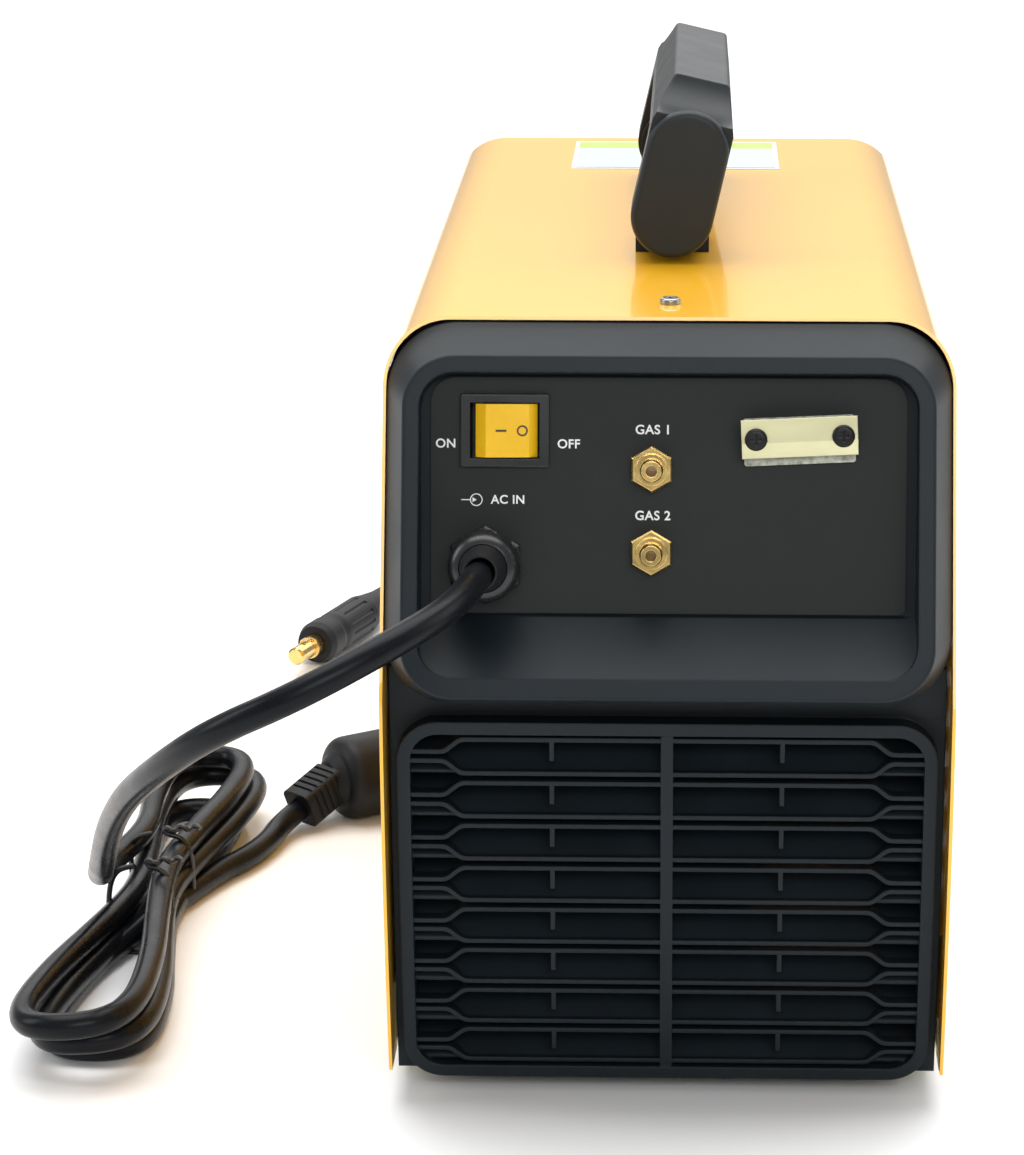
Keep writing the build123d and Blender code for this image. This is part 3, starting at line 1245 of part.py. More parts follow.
# ---------------------------------------------------------------- cords
def cord_tube(route, diameter, name):
    """Tube along straight runs joined by tangent arcs, each as large as its runs allow."""
    points = [Vector(*p) for p in route]
    radii = []
    for before, corner, after in zip(points, points[1:], points[2:]):
        run_in = corner - before
        run_out = after - corner
        half_turn = math.radians(run_in.get_angle(run_out)) / 2
        radii.append(0.45 * min(run_in.length, run_out.length) / math.tan(half_turn))
    path = FilletPolyline(*points, radius=radii)
    start = Plane(origin=points[0], z_dir=points[1] - points[0])
    tube = sweep(start * Circle(diameter / 2), path=path)
    expected = math.pi * diameter**2 / 4 * path.length
    print(name, "length", round(path.length, 1), "radii", [round(r) for r in radii])
    print(name, "volume", round(tube.volume), "section x length", round(expected))
    return tube


def make_hank():
    """Outer form of the tied hank lying beside the machine."""
    shape = SlotOverall(HANK_LENGTH, HANK_WIDTH, rotation=90 + HANK_TURN)
    hank = extrude(shape, amount=HANK_HEIGHT)
    hank = fillet(hank.edges().group_by(Axis.Z)[-1], 10)
    return Pos(HANK_MIDDLE[0], HANK_MIDDLE[1], 0.2) * hank


def plug_frame():
    """Mains plug: +Z along its pins, origin where the shell meets the strain relief."""
    return Plane(origin=PLUG_NECK, x_dir=(0.0, 0.0, 1.0), z_dir=PLUG_DIRECTION)


def relief_frame():
    """Ribbed strain relief behind the plug's shell: +Z runs back towards the cord."""
    reverse = (Vector(*TAIL_ROUTE[-1]) - Vector(*PLUG_NECK)).normalized()
    return Plane(origin=PLUG_NECK, x_dir=(0.0, 0.0, 1.0), z_dir=reverse)


def make_plug_body():
    """Earthed plug: round face, bell-shaped shell, ribbed strain relief."""
    profile = make_face(
        [
            Line((0, -3), (9, -3)),
            Line((9, -3), (12.5, 1)),
            ThreePointArc((12.5, 1), (16.6, 3.1), (18.4, 7.5)),
            Line((18.4, 7.5), (18.4, 33.2)),
            Line((18.4, 33.2), (17.6, 34)),
            Line((17.6, 34), (0, 34)),
            Line((0, 34), (0, -3)),
        ]
    )
    shell = revolve(Plane.XZ * profile, axis=Axis.Z)
    for side in (-1, 1):
        shell -= Pos(0, side * 18.4, 25) * Box(6.2, 3.0, 22)
    length = (Vector(*TAIL_ROUTE[-1]) - Vector(*PLUG_NECK)).length
    block_body = Pos(0, 0, length / 2) * Box(17, 17, length - 1)
    block_body = fillet(block_body.edges().filter_by(Axis.Z), 4)
    for rib in range(6):
        groove = Pos(0, 0, length - 5 - 3.4 * rib) * (Box(22, 22, 1.3) - Box(15.2, 15.2, 3))
        block_body -= groove
    return plug_frame() * shell + relief_frame() * block_body


def make_plug_metal():
    """Round pins in the face and the earth strips in the shell's two side grooves."""
    frame = plug_frame()
    pieces = []
    for side in (-1, 1):
        pin = Pos(side * 9.5, 0, 34.05 + 9.5) * Cylinder(2.4, 19)
        pin = fillet(pin.edges().filter_by(GeomType.CIRCLE).sort_by(Axis.Z)[-1], 1.4)
        pieces.append(frame * pin)
        pieces.append(frame * Pos(0, side * 17.6, 25) * Box(5.0, 1.0, 21.5))
    return Compound(children=pieces)


def lead_plug_frame():
    """Cable plug: +Z points at the brass pin's tip."""
    return Plane(origin=LEAD_PLUG_BACK, x_dir=(0.0, 0.0, 1.0), z_dir=LEAD_PLUG_DIRECTION)


def make_lead_plug_body():
    """Rubber sleeve of the cable plug: tapered back, ridged grip, collar."""
    profile = make_face(
        Polyline(
            (0, 0),
            (6.9, 0),
            (7.4, 18),
            (9.3, 34),
            (10.4, 40),
            (10.4, 74),
            (9.7, 78),
            (10.7, 82),
            (10.7, 92),
            (9.3, 96),
            (0, 96),
            close=True,
        )
    )
    body = revolve(Plane.XZ * profile, axis=Axis.Z)
    for flute in range(12):
        body -= Rot(0, 0, 30 * flute) * Pos(11.1, 0, 57) * Cylinder(1.3, 26)
    return lead_plug_frame() * (body - Pos(0, 0, 94) * Cylinder(LEAD_PIN_RADIUS + 1.1, 10))


def make_lead_plug_pin():
    """Brass bayonet pin with its locking lug."""
    pin = Pos(0, 0, 96.0) * Cylinder(LEAD_PIN_RADIUS + 1.0, 14)
    pin += Pos(0, 0, 109) * Cylinder(LEAD_PIN_RADIUS, 20)
    pin = chamfer(pin.edges().filter_by(GeomType.CIRCLE).sort_by(Axis.Z)[-1], 1.0)
    pin += Pos(LEAD_PIN_RADIUS, 0, 107) * Box(2.4, 3.4, 5)
    return lead_plug_frame() * pin


def make_lead_gland():
    """Moulded outlet for the polarity lead, tapering onto it."""
    face = TOP_HALF_LENGTH + FRONT_PLATE_OUT
    profile = make_face(
        Polyline(
            (LEAD_DIAMETER / 2 + 0.05, -6),
            (LEAD_DIAMETER / 2 + 0.05, 34),
            (LEAD_DIAMETER / 2 + 1.2, 34),
            (LEAD_DIAMETER / 2 + 5.0, 5),
            (LEAD_GLAND_BODY + 4, 5),
            (LEAD_GLAND_BODY + 4, 0.05),
            (LEAD_GLAND_BODY - 0.1, 0.05),
            (LEAD_GLAND_BODY - 0.1, -6),
            close=True,
        )
    )
    gland = revolve(Plane.XZ * profile, axis=Axis.Z)
    return Plane(origin=(LEAD_X, face, LEAD_Z), x_dir=(1, 0, 0), z_dir=(0, 1, 0)) * gland



def build():
    """Every node of the machine, by name."""
    bezel = make_upper_bezel()
    nodes = {
        "cover": make_cover(),
        "side_door": make_side_door(),
        "door_hinge_pins": make_hinge_pins(),
        "door_latch": make_door_latch(),
        "base_tray": make_base_tray(),
        "rubber_feet": make_feet(),
        "rear_upper_bezel": bezel,
        "front_upper_bezel": mirror(bezel, about=Plane.XZ),
        "rear_panel": make_rear_panel(),
        "rear_grille": make_rear_grille(),
        "front_lower_panel": make_front_lower_panel(),
        "switch_housing": make_switch_housing(),
        "switch_rocker": make_switch_rocker(),
        "gland_body": make_gland_body(),
        "gland_nut": make_gland_nut(),
        "cord_sleeve": make_cord_sleeve(),
        "panel_locknuts": make_panel_locknuts(),
        "gas_inlets": make_gas_inlets(),
        "gas_valves": make_gas_valves(),
        "clamp_back_plate": make_clamp_back(),
        "clamp_bar": make_clamp_bar(),
        "clamp_screws": make_clamp_screws(),
        "cover_screws": make_cover_screws(),
        "top_label": make_top_label(),
        "handle_grip": make_handle_grip(),
        "handle_end_caps": make_handle_end_caps(),
        "handle_brackets": make_handle_brackets(),
        "handle_pivot_pins": make_handle_pins(),
        "front_panel": make_front_panel(),
        "display_window": make_display_window(),
        "current_knob": make_knob(KNOB_X[0]),
        "wire_speed_knob": make_knob(KNOB_X[1]),
        "mode_button": make_button(BUTTON_X[0]),
        "gas_test_button": make_button(BUTTON_X[1]),
        "output_sockets": make_output_sockets(),
        "torch_connector": make_torch_connector(),
        "plasma_connector": make_plasma_connector(),
        "partition": make_partition(),
        "heat_sink": make_heat_sink(),
        "main_board": make_main_board(),
        "capacitors": make_capacitors(),
        "transformer": make_transformer(),
        "fan_frame": make_fan_frame(),
        "fan_rotor": make_fan_rotor(),
        "spool_hub": make_spool_hub(),
        "wire_spool": make_wire_spool(),
        "wire_winding": make_wire_winding(),
        "feed_unit": make_feed_unit(),
        "drive_roll": make_drive_roll(),
        "pressure_arm": make_pressure_arm(),
        "pressure_roll": make_pressure_roll(),
        "mains_cord": cord_tube(MAINS_ROUTE, CORD_DIAMETER, "mains_cord"),
        "mains_cord_hank": make_hank(),
        "mains_cord_tail": cord_tube(TAIL_ROUTE, CORD_DIAMETER, "mains_cord_tail"),
        "plug_body": make_plug_body(),
        "plug_metal": make_plug_metal(),
        "polarity_lead": cord_tube(LEAD_ROUTE, LEAD_DIAMETER, "polarity_lead"),
        "lead_gland": make_lead_gland(),
        "lead_plug_body": make_lead_plug_body(),
        "lead_plug_pin": make_lead_plug_pin(),
    }
    return nodes


os.makedirs("parts", exist_ok=True)
for name, shape in build().items():
    export_step(shape, f"parts/{name}.step")
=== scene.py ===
import math

import bpy
from mathutils import Matrix, Vector


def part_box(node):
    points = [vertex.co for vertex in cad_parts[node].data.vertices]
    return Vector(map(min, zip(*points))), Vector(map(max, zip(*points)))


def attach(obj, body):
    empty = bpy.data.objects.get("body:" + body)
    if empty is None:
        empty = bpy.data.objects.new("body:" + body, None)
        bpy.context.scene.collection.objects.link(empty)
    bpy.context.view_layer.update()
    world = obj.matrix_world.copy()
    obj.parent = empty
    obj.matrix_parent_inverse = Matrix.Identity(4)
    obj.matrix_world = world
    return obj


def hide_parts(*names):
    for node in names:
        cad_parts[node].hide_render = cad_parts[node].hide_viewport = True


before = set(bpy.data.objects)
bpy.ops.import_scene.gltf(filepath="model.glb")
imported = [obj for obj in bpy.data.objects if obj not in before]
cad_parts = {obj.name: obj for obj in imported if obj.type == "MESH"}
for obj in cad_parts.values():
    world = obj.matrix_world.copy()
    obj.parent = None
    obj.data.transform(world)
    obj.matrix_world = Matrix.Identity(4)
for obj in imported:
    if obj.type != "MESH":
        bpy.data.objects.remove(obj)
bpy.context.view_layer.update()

# The machine's own frame: +X to the right seen from behind, +Y to its front. Sizes are in metres,
# and in millimetres where it says so.
MM = 0.001
PANEL_TILT = math.radians(10.5)
PANEL_TOP_Y = 0.2206
PANEL_TOP_Z = 0.2665
CORD = 0.010                       # diameters of the two cords
LEAD = 0.011
SWITCH_X = -56.7                   # switch on the rear panel, mm
SWITCH_V = 18.5
ROCKER_PIVOT = -4.0                # rocker axle behind the panel's face, mm
ROCKER_TOP = 0.0069                # rocker face above its axle
ROCKER_TILT = math.radians(8.0)
KNOB_V = 54.0                      # knobs, buttons and display below the panel's top edge, mm
BUTTON_V = 34.0
DISPLAY_V = 14.5
PLATE_FACE = 0.211                 # face of the connection plate at the front
INK = 0.00012                      # how far printing stands proud


# ---------------------------------------------------------------- places
def panel_frame(side):
    """Local axes of a recessed panel: x across, y up its face, z out; side -1 is the rear."""
    lean = math.sin(PANEL_TILT)
    rise = math.cos(PANEL_TILT)
    across = Vector((-side, 0, 0))
    out = Vector((0, side * rise, lean))
    up = out.cross(across)
    turn = Matrix((across, up, out)).transposed().to_4x4()
    return Matrix.Translation((0, side * PANEL_TOP_Y, PANEL_TOP_Z)) @ turn


def on_panel(side, x, v, out=0.0):
    """Place on a panel: x across, v below its top edge, in millimetres."""
    return panel_frame(side) @ Matrix.Translation((x * MM, -v * MM, out * MM))


# ---------------------------------------------------------------- shader building blocks
SCUFF_SCALE = 420.0                # size of the spots in which edges are rubbed bare
EDGE_GAIN = 3.0                    # how far from an edge the rubbing reaches


def node(tree, kind, settings=None, **inputs):
    made = tree.nodes.new("ShaderNode" + kind)
    for key, value in (settings or {}).items():
        setattr(made, key, value)
    for key, value in inputs.items():
        feed(tree, made.inputs[key.replace("_", " ")], value)
    return made


def feed(tree, socket, value):
    if isinstance(value, bpy.types.NodeSocket):
        tree.links.new(value, socket)
    else:
        socket.default_value = value


def calc(tree, operation, first, second=0.0, clamp=False):
    made = tree.nodes.new("ShaderNodeMath")
    made.operation = operation
    made.use_clamp = clamp
    feed(tree, made.inputs[0], first)
    feed(tree, made.inputs[1], second)
    return made.outputs[0]


def blend_color(tree, factor, first, second):
    made = tree.nodes.new("ShaderNodeMix")
    made.data_type = "RGBA"
    feed(tree, made.inputs["Factor"], factor)
    feed(tree, made.inputs[6], first)
    feed(tree, made.inputs[7], second)
    return made.outputs[2]


def spread(tree, value, low, high):
    made = node(tree, "MapRange", None, Value=value, From_Min=0.3, From_Max=0.7, To_Min=low, To_Max=high)
    return made.outputs["Result"]


def tint(color, gain):
    return tuple(min(1.0, channel * gain) for channel in color[:3]) + (1.0,)


def edge_mask(tree, rounded, gain):
    """White where the rounded normal leaves the flat one, which is along sharp edges."""
    flat = node(tree, "NewGeometry").outputs["Normal"]
    dot = node(tree, "VectorMath", {"operation": "DOT_PRODUCT"})
    tree.links.new(rounded, dot.inputs[0])
    tree.links.new(flat, dot.inputs[1])
    gap = calc(tree, "SUBTRACT", 1.0, dot.outputs["Value"])
    return calc(tree, "MULTIPLY", gap, gain, clamp=True)


def surface(
    name,
    color,
    roughness,
    metallic=0.0,
    vary=0.14,
    mottle=35.0,
    grain=2600.0,
    bump=0.25,
    depth=0.00004,
    worn=None,
    wear=0.45,
    edge=0.0006,
    coat=0.0,
    coat_roughness=0.06,
    stretch=(1.0, 1.0, 1.0),
    rough_vary=0.07,
    specular=0.5,
    paint=None,
):
    """Procedural finish: mottled colour, uneven gloss, fine relief, rounded and worn edges."""
    material = bpy.data.materials.new(name)
    material.use_nodes = True
    tree = material.node_tree
    shader = tree.nodes["Principled BSDF"]
    place = node(tree, "TexCoord").outputs["Object"]
    drawn = node(tree, "Mapping", None, Vector=place, Scale=stretch).outputs["Vector"]
    soft = node(tree, "TexNoise", None, Vector=drawn, Scale=mottle, Detail=5.0).outputs[0]
    fine = node(tree, "TexNoise", None, Vector=drawn, Scale=grain, Detail=2.0).outputs[0]
    base = paint(tree, place) if paint else tint(color, 1.0)
    if paint:
        base = blend_color(tree, spread(tree, soft, 0.0, vary), base, tint(color, 0.7))
    else:
        base = blend_color(tree, spread(tree, soft, 0.0, 1.0), tint(color, 1 - vary), tint(color, 1 + vary))
    rounded = node(tree, "Bevel", {"samples": 4}, Radius=edge).outputs[0]
    spots = node(tree, "TexNoise", None, Vector=place, Scale=SCUFF_SCALE, Detail=3.0).outputs[0]
    scuffs = spread(tree, spots, 0.0, 1.0)
    rub = calc(tree, "MULTIPLY", edge_mask(tree, rounded, EDGE_GAIN), scuffs)
    rub = calc(tree, "MULTIPLY", rub, wear)
    feed(tree, shader.inputs["Base Color"], blend_color(tree, rub, base, tint(worn or tint(color, 2.2), 1.0)))
    patches = calc(tree, "MULTIPLY", calc(tree, "ADD", soft, fine), 0.5)
    gloss = spread(tree, patches, roughness - rough_vary, roughness + rough_vary)
    feed(tree, shader.inputs["Roughness"], gloss)
    relief = node(tree, "Bump", None, Strength=bump, Distance=depth, Height=fine, Normal=rounded)
    feed(tree, shader.inputs["Normal"], relief.outputs["Normal"])
    shader.inputs["Metallic"].default_value = metallic
    shader.inputs["Specular IOR Level"].default_value = specular
    shader.inputs["Coat Weight"].default_value = coat
    shader.inputs["Coat Roughness"].default_value = coat_roughness
    return material


LABEL_MIDDLE_Y = 0.152
LABEL_HEADER = 0.018               # edges of its bands, from its middle
LABEL_FOOT = -0.0335
LABEL_RIM = (0.0432, 0.0355)       # inner edge of its border, across and along
ROWS_PER_METRE = 260.0
ROW_LINE = 0.16                    # share of a row taken by its ruled line


def printed_film(tree, place):
    """Label on the cover: white border, header band, pale body with faint ruled rows."""
    axes = node(tree, "SeparateXYZ", None, Vector=place).outputs
    along = calc(tree, "SUBTRACT", axes["Y"], LABEL_MIDDLE_Y)
    across = calc(tree, "ABSOLUTE", axes["X"])
    body = (0.70, 0.81, 0.85, 1.0)
    rows = calc(tree, "FRACT", calc(tree, "MULTIPLY", along, ROWS_PER_METRE))
    ruled = calc(tree, "LESS_THAN", rows, ROW_LINE)
    color = blend_color(tree, calc(tree, "MULTIPLY", ruled, 0.35), body, (0.16, 0.24, 0.42, 1.0))
    header = calc(tree, "GREATER_THAN", along, LABEL_HEADER)
    color = blend_color(tree, header, color, (0.56, 0.70, 0.08, 1.0))
    foot = calc(tree, "LESS_THAN", along, LABEL_FOOT)
    color = blend_color(tree, foot, color, (0.22, 0.16, 0.50, 1.0))
    rim = calc(tree, "GREATER_THAN", across, LABEL_RIM[0])
    ends = calc(tree, "GREATER_THAN", calc(tree, "ABSOLUTE", along), LABEL_RIM[1])
    return blend_color(tree, calc(tree, "MAXIMUM", rim, ends), color, (0.88, 0.90, 0.90, 1.0))


# ---------------------------------------------------------------- finishes and who wears them
YELLOW = (0.98, 0.50, 0.016)
FINISHES = {
    "yellow_powder_paint": (
        dict(color=YELLOW, roughness=0.34, vary=0.012, mottle=9, grain=650, bump=0.05, depth=0.00002,
             worn=(0.98, 0.66, 0.16), wear=0.5, edge=0.00045, coat=1.0, coat_roughness=0.03, rough_vary=0.04),
        "cover side_door",
    ),
    "moulded_bezel_plastic": (
        dict(color=(0.0088, 0.0132, 0.0170), roughness=0.44, specular=0.20, vary=0.12, grain=3200, bump=0.35,
             worn=(0.055, 0.062, 0.068), wear=0.5, edge=0.0011),
        "rear_upper_bezel front_upper_bezel rear_grille front_lower_panel",
    ),
    "black_panel_film": (
        dict(color=(0.0085, 0.0112, 0.0108), roughness=0.50, specular=0.28, vary=0.10, mottle=90,
             grain=4200, bump=0.3, worn=(0.05, 0.05, 0.05), wear=0.25, edge=0.0004),
        "rear_panel front_panel",
    ),
    "satin_handle_plastic": (
        dict(color=(0.0120, 0.0158, 0.0176), roughness=0.42, specular=0.28, vary=0.12, mottle=50,
             grain=3600, bump=0.4, worn=(0.09, 0.092, 0.094), wear=0.45, edge=0.0011),
        "handle_grip handle_end_caps",
    ),
    "glassy_black_nylon": (
        dict(color=(0.010, 0.011, 0.012), roughness=0.30, vary=0.15, grain=2400, bump=0.2,
             worn=(0.06, 0.06, 0.06), edge=0.0005),
        "gland_body gland_nut switch_housing output_sockets fan_frame fan_rotor spool_hub lead_gland "
        "current_knob wire_speed_knob plasma_connector",
    ),
    "matt_black_rubber": (
        dict(color=(0.0075, 0.0080, 0.0095), roughness=0.50, specular=0.25, vary=0.16, grain=1900, bump=0.4,
             worn=(0.03, 0.03, 0.032), wear=0.3, edge=0.0007),
        "cord_sleeve rubber_feet plug_body lead_plug_body",
    ),
    "yellow_switch_plastic": (
        dict(color=(0.86, 0.50, 0.012), roughness=0.28, vary=0.04, grain=2600, bump=0.08,
             worn=(0.95, 0.70, 0.10), wear=0.4, edge=0.0005),
        "switch_rocker",
    ),
    "turned_brass": (
        dict(color=(0.76, 0.54, 0.20), roughness=0.22, metallic=1.0, vary=0.14, mottle=160, grain=2400,
             bump=0.22, worn=(0.98, 0.80, 0.42), wear=0.6, edge=0.0004),
        "gas_inlets panel_locknuts lead_plug_pin torch_connector",
    ),
    "yellowish_zinc_plate": (
        dict(color=(0.60, 0.58, 0.36), roughness=0.36, metallic=0.9, vary=0.10, mottle=90, grain=2400,
             bump=0.06, worn=(0.92, 0.90, 0.82), edge=0.0004, stretch=(0.25, 1.0, 1.0)),
        "clamp_bar partition base_tray",
    ),
    "spangled_zinc": (
        dict(color=(0.36, 0.37, 0.31), roughness=0.42, metallic=0.85, vary=0.45, mottle=420, grain=2400,
             bump=0.2, worn=(0.8, 0.8, 0.72), edge=0.0003),
        "clamp_back_plate",
    ),
    "black_oxide_screw": (
        dict(color=(0.012, 0.012, 0.012), roughness=0.34, metallic=0.6, vary=0.2, grain=2600, bump=0.2,
             worn=(0.22, 0.22, 0.22), wear=0.7, edge=0.0004),
        "clamp_screws handle_brackets",
    ),
    "bright_steel": (
        dict(color=(0.33, 0.33, 0.32), roughness=0.32, metallic=1.0, vary=0.16, mottle=150, grain=2200,
             bump=0.2, worn=(0.9, 0.9, 0.9), edge=0.0004),
        "cover_screws door_hinge_pins door_latch handle_pivot_pins plug_metal drive_roll pressure_roll",
    ),
    "printed_label_film": (
        dict(color=(0.55, 0.66, 0.70), roughness=0.22, vary=0.10, mottle=60, grain=900, bump=0.05,
             coat=0.5, worn=(0.9, 0.9, 0.9), wear=0.3, edge=0.0001, paint=printed_film),
        "top_label",
    ),
    "smoked_display": (
        dict(color=(0.020, 0.008, 0.008), roughness=0.12, vary=0.10, grain=1200, bump=0.03, coat=0.8,
             worn=(0.08, 0.05, 0.05), edge=0.0004),
        "display_window",
    ),
    "grey_button_plastic": (
        dict(color=(0.26, 0.27, 0.28), roughness=0.36, vary=0.06, grain=2600, bump=0.15,
             worn=(0.5, 0.5, 0.5), edge=0.0004),
        "mode_button gas_test_button",
    ),
    "spool_plastic": (
        dict(color=(0.030, 0.030, 0.032), roughness=0.42, vary=0.14, grain=2300, bump=0.25, edge=0.0006),
        "wire_spool",
    ),
    "extruded_aluminium": (
        dict(color=(0.66, 0.67, 0.68), roughness=0.34, metallic=1.0, vary=0.10, mottle=90, grain=1600,
             bump=0.22, worn=(0.9, 0.9, 0.9), edge=0.0005, stretch=(1.0, 0.2, 1.0)),
        "heat_sink gas_valves feed_unit pressure_arm",
    ),
    "circuit_board_green": (
        dict(color=(0.012, 0.13, 0.05), roughness=0.32, vary=0.25, mottle=140, grain=900, bump=0.2,
             worn=(0.35, 0.30, 0.10), edge=0.0003),
        "main_board",
    ),
    "capacitor_sleeve": (
        dict(color=(0.012, 0.02, 0.07), roughness=0.30, vary=0.15, grain=1500, bump=0.12, edge=0.0006),
        "capacitors",
    ),
    "ferrite_and_copper": (
        dict(color=(0.11, 0.055, 0.03), roughness=0.5, vary=0.4, mottle=70, grain=700, bump=0.5, edge=0.0006),
        "transformer",
    ),
    "coppered_wire": (
        dict(color=(0.72, 0.38, 0.20), roughness=0.30, metallic=1.0, vary=0.18, mottle=60, grain=900,
             bump=0.6, depth=0.0003, stretch=(2.2, 0.2, 0.2), edge=0.0004),
        "wire_winding",
    ),
    "cord_rubber": (
        dict(color=(0.0048, 0.0058, 0.0076), roughness=0.30, specular=0.13, vary=0.16, mottle=60,
             grain=1500, bump=0.22, depth=0.00006, worn=(0.02, 0.02, 0.02), wear=0.1, edge=0.0004),
        "",
    ),
    "tie_wire_sleeve": (
        dict(color=(0.008, 0.008, 0.009), roughness=0.35, vary=0.2, grain=2600, bump=0.3, edge=0.0002),
        "",
    ),
    "white_print": (
        dict(color=(0.80, 0.82, 0.82), roughness=0.45, vary=0.05, mottle=300, grain=3000, bump=0.2,
             worn=(0.6, 0.6, 0.6), edge=0.0001),
        "",
    ),
    "unlit_digits": (
        dict(color=(0.075, 0.022, 0.018), roughness=0.3, vary=0.1, mottle=300, grain=3000, bump=0.1,
             edge=0.0001),
        "",
    ),
    "dark_print": (
        dict(color=(0.02, 0.018, 0.015), roughness=0.4, vary=0.1, mottle=300, grain=3000, bump=0.2,
             edge=0.0001),
        "",
    ),
}

FINISH = {}
for finish_name, (look, wearers) in FINISHES.items():
    FINISH[finish_name] = surface(finish_name, **look)
    for wearer in wearers.split():
        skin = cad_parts[wearer].data
        skin.materials.clear()
        skin.materials.append(FINISH[finish_name])


# ---------------------------------------------------------------- pieces
def link(piece, finish, body):
    bpy.context.scene.collection.objects.link(piece)
    piece.data.materials.append(FINISH[finish])
    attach(piece, body)
    return piece


def smooth_line(name, points, diameter):
    """Round line on one open spline with these control points, in millimetres."""
    curve = bpy.data.curves.new(name, "CURVE")
    curve.dimensions = "3D"
    # With a depth of 1 the points' radii are the line's real ones, and the curve's box grows by them.
    curve.bevel_depth = 1.0
    curve.bevel_resolution = 7
    curve.use_fill_caps = True
    spline = curve.splines.new("NURBS")
    spline.points.add(len(points) - 1)
    for point, place in zip(spline.points, points):
        point.co = (place[0] * MM, place[1] * MM, place[2] * MM, 1.0)
        point.radius = diameter / 2
    spline.order_u = 3
    spline.use_endpoint_u = True
    spline.resolution_u = 10
    return curve


def tube(name, points, diameter, finish):
    piece = bpy.data.objects.new(name, smooth_line(name, points, diameter))
    return link(piece, finish, "housing")


def wire(name, points, diameter, finish):
    """Short bent wire, as a mesh."""
    source = bpy.data.objects.new(name + "_line", smooth_line(name, points, diameter))
    bpy.context.scene.collection.objects.link(source)
    bpy.context.view_layer.update()
    shape = bpy.data.meshes.new_from_object(source.evaluated_get(bpy.context.evaluated_depsgraph_get()))
    bpy.data.objects.remove(source)
    shape.shade_smooth()
    return link(bpy.data.objects.new(name, shape), finish, "housing")


def lettering(name, words, place, height, finish="white_print", body="housing"):
    """Printed words, centred on a place, with this capital height in millimetres."""
    letters = bpy.data.curves.new(name, "FONT")
    letters.body = words
    letters.size = height * MM / 0.69
    letters.align_x = "CENTER"
    letters.align_y = "CENTER"
    letters.extrude = INK
    letters.offset = height * MM * 0.028
    letters.space_character = 1.06
    piece = bpy.data.objects.new(name, letters)
    piece.matrix_world = place
    return link(piece, finish, body)


def flat_shape(name, outlines, place, finish="white_print", body="housing"):
    """Printed mark from closed outlines in millimetres."""
    shape = bpy.data.curves.new(name, "CURVE")
    shape.dimensions = "2D"
    shape.fill_mode = "BOTH"
    shape.extrude = INK
    for outline in outlines:
        spline = shape.splines.new("POLY")
        spline.points.add(len(outline) - 1)
        spline.use_cyclic_u = True
        for point, (x, y) in zip(spline.points, outline):
            point.co = (x * MM, y * MM, 0.0, 1.0)
    piece = bpy.data.objects.new(name, shape)
    piece.matrix_world = place
    return link(piece, finish, body)


def circle(radius, x=0.0, y=0.0, steps=40):
    turns = [2 * math.pi * step / steps for step in range(steps)]
    return [(x + radius * math.cos(turn), y + radius * math.sin(turn)) for turn in turns]


def bar(x_low, x_high, y_low, y_high):
    return [(x_low, y_low), (x_high, y_low), (x_high, y_high), (x_low, y_high)]


# ---------------------------------------------------------------- cords
# Lengths here are in millimetres. The hank's turns come between the first two lists.
MAINS_ROUTE = [
    (-63.3, -244.0, 204.8),
    (-63.3, -268.0, 208.8),
    (-70.0, -298.0, 206.0),
    (-91.0, -325.0, 199.5),
    (-119.0, -338.0, 187.0),
    (-148.0, -331.0, 172.0),
    (-170.0, -303.0, 150.0),
    (-187.0, -262.0, 126.6),
    (-202.0, -210.0, 96.4),
    (-215.0, -152.0, 61.0),
    (-225.0, -100.0, 37.0),
    (-229.0, -62.0, 27.0),
]
TAIL_ROUTE = [
    (-192.0, -14.0, 6.2),
    (-180.0, 6.0, 6.0),
    (-173.0, 27.0, 6.2),
    (-170.0, 44.0, 7.5),
    (-163.0, 57.0, 10.2),
]
LEAD_ROUTE = [
    (-58.0, 206.0, 60.0),
    (-58.0, 258.0, 60.0),
    (-55.0, 310.0, 43.0),
    (-42.0, 358.0, 18.0),
    (-37.0, 404.0, 6.2),
    (-52.0, 433.0, 6.0),
    (-81.0, 448.0, 6.0),
    (-113.0, 444.5, 6.5),
    (-139.0, 423.5, 8.4),
    (-150.8, 392.3, 11.3),
]
HANK_MIDDLE = (-210.5, -62.0)
HANK_TURN = math.radians(-3.0)
TIE_WIRE = 2.2                     # plastic-covered tie wire
TWIST_RADIUS = 1.1                 # twisted end of a tie, and its advance from point to point
TWIST_STEP = 1.7
LOWEST = 6.0                       # centre of the lowest turn above the floor
LAYER = 10.4                       # height from one turn of the hank to the next
# Each turn: far reach, near reach, far half width, near half width, sideways shift far and near.
TURNS = (
    (146.0, 170.0, 16.0, 20.0, 0.0, 1.0),
    (152.0, 158.0, 18.0, 19.0, 3.0, 5.0),
    (134.0, 142.0, 15.0, 18.0, -3.0, 4.0),
)
# Outline of a lobe: shares of its reach and of its half width.
LOBE = ((0.30, 0.62), (0.58, 0.98), (0.85, 1.10), (0.97, 0.62))
WAIST = 5.6                        # half distance of the strands where they are tied


def hank_place(along, aside, height):
    """Point of the hank from its own length and side directions, in millimetres."""
    x = HANK_MIDDLE[0] + aside * math.cos(HANK_TURN) - along * math.sin(HANK_TURN)
    y = HANK_MIDDLE[1] + aside * math.sin(HANK_TURN) + along * math.cos(HANK_TURN)
    return (x, y, height)


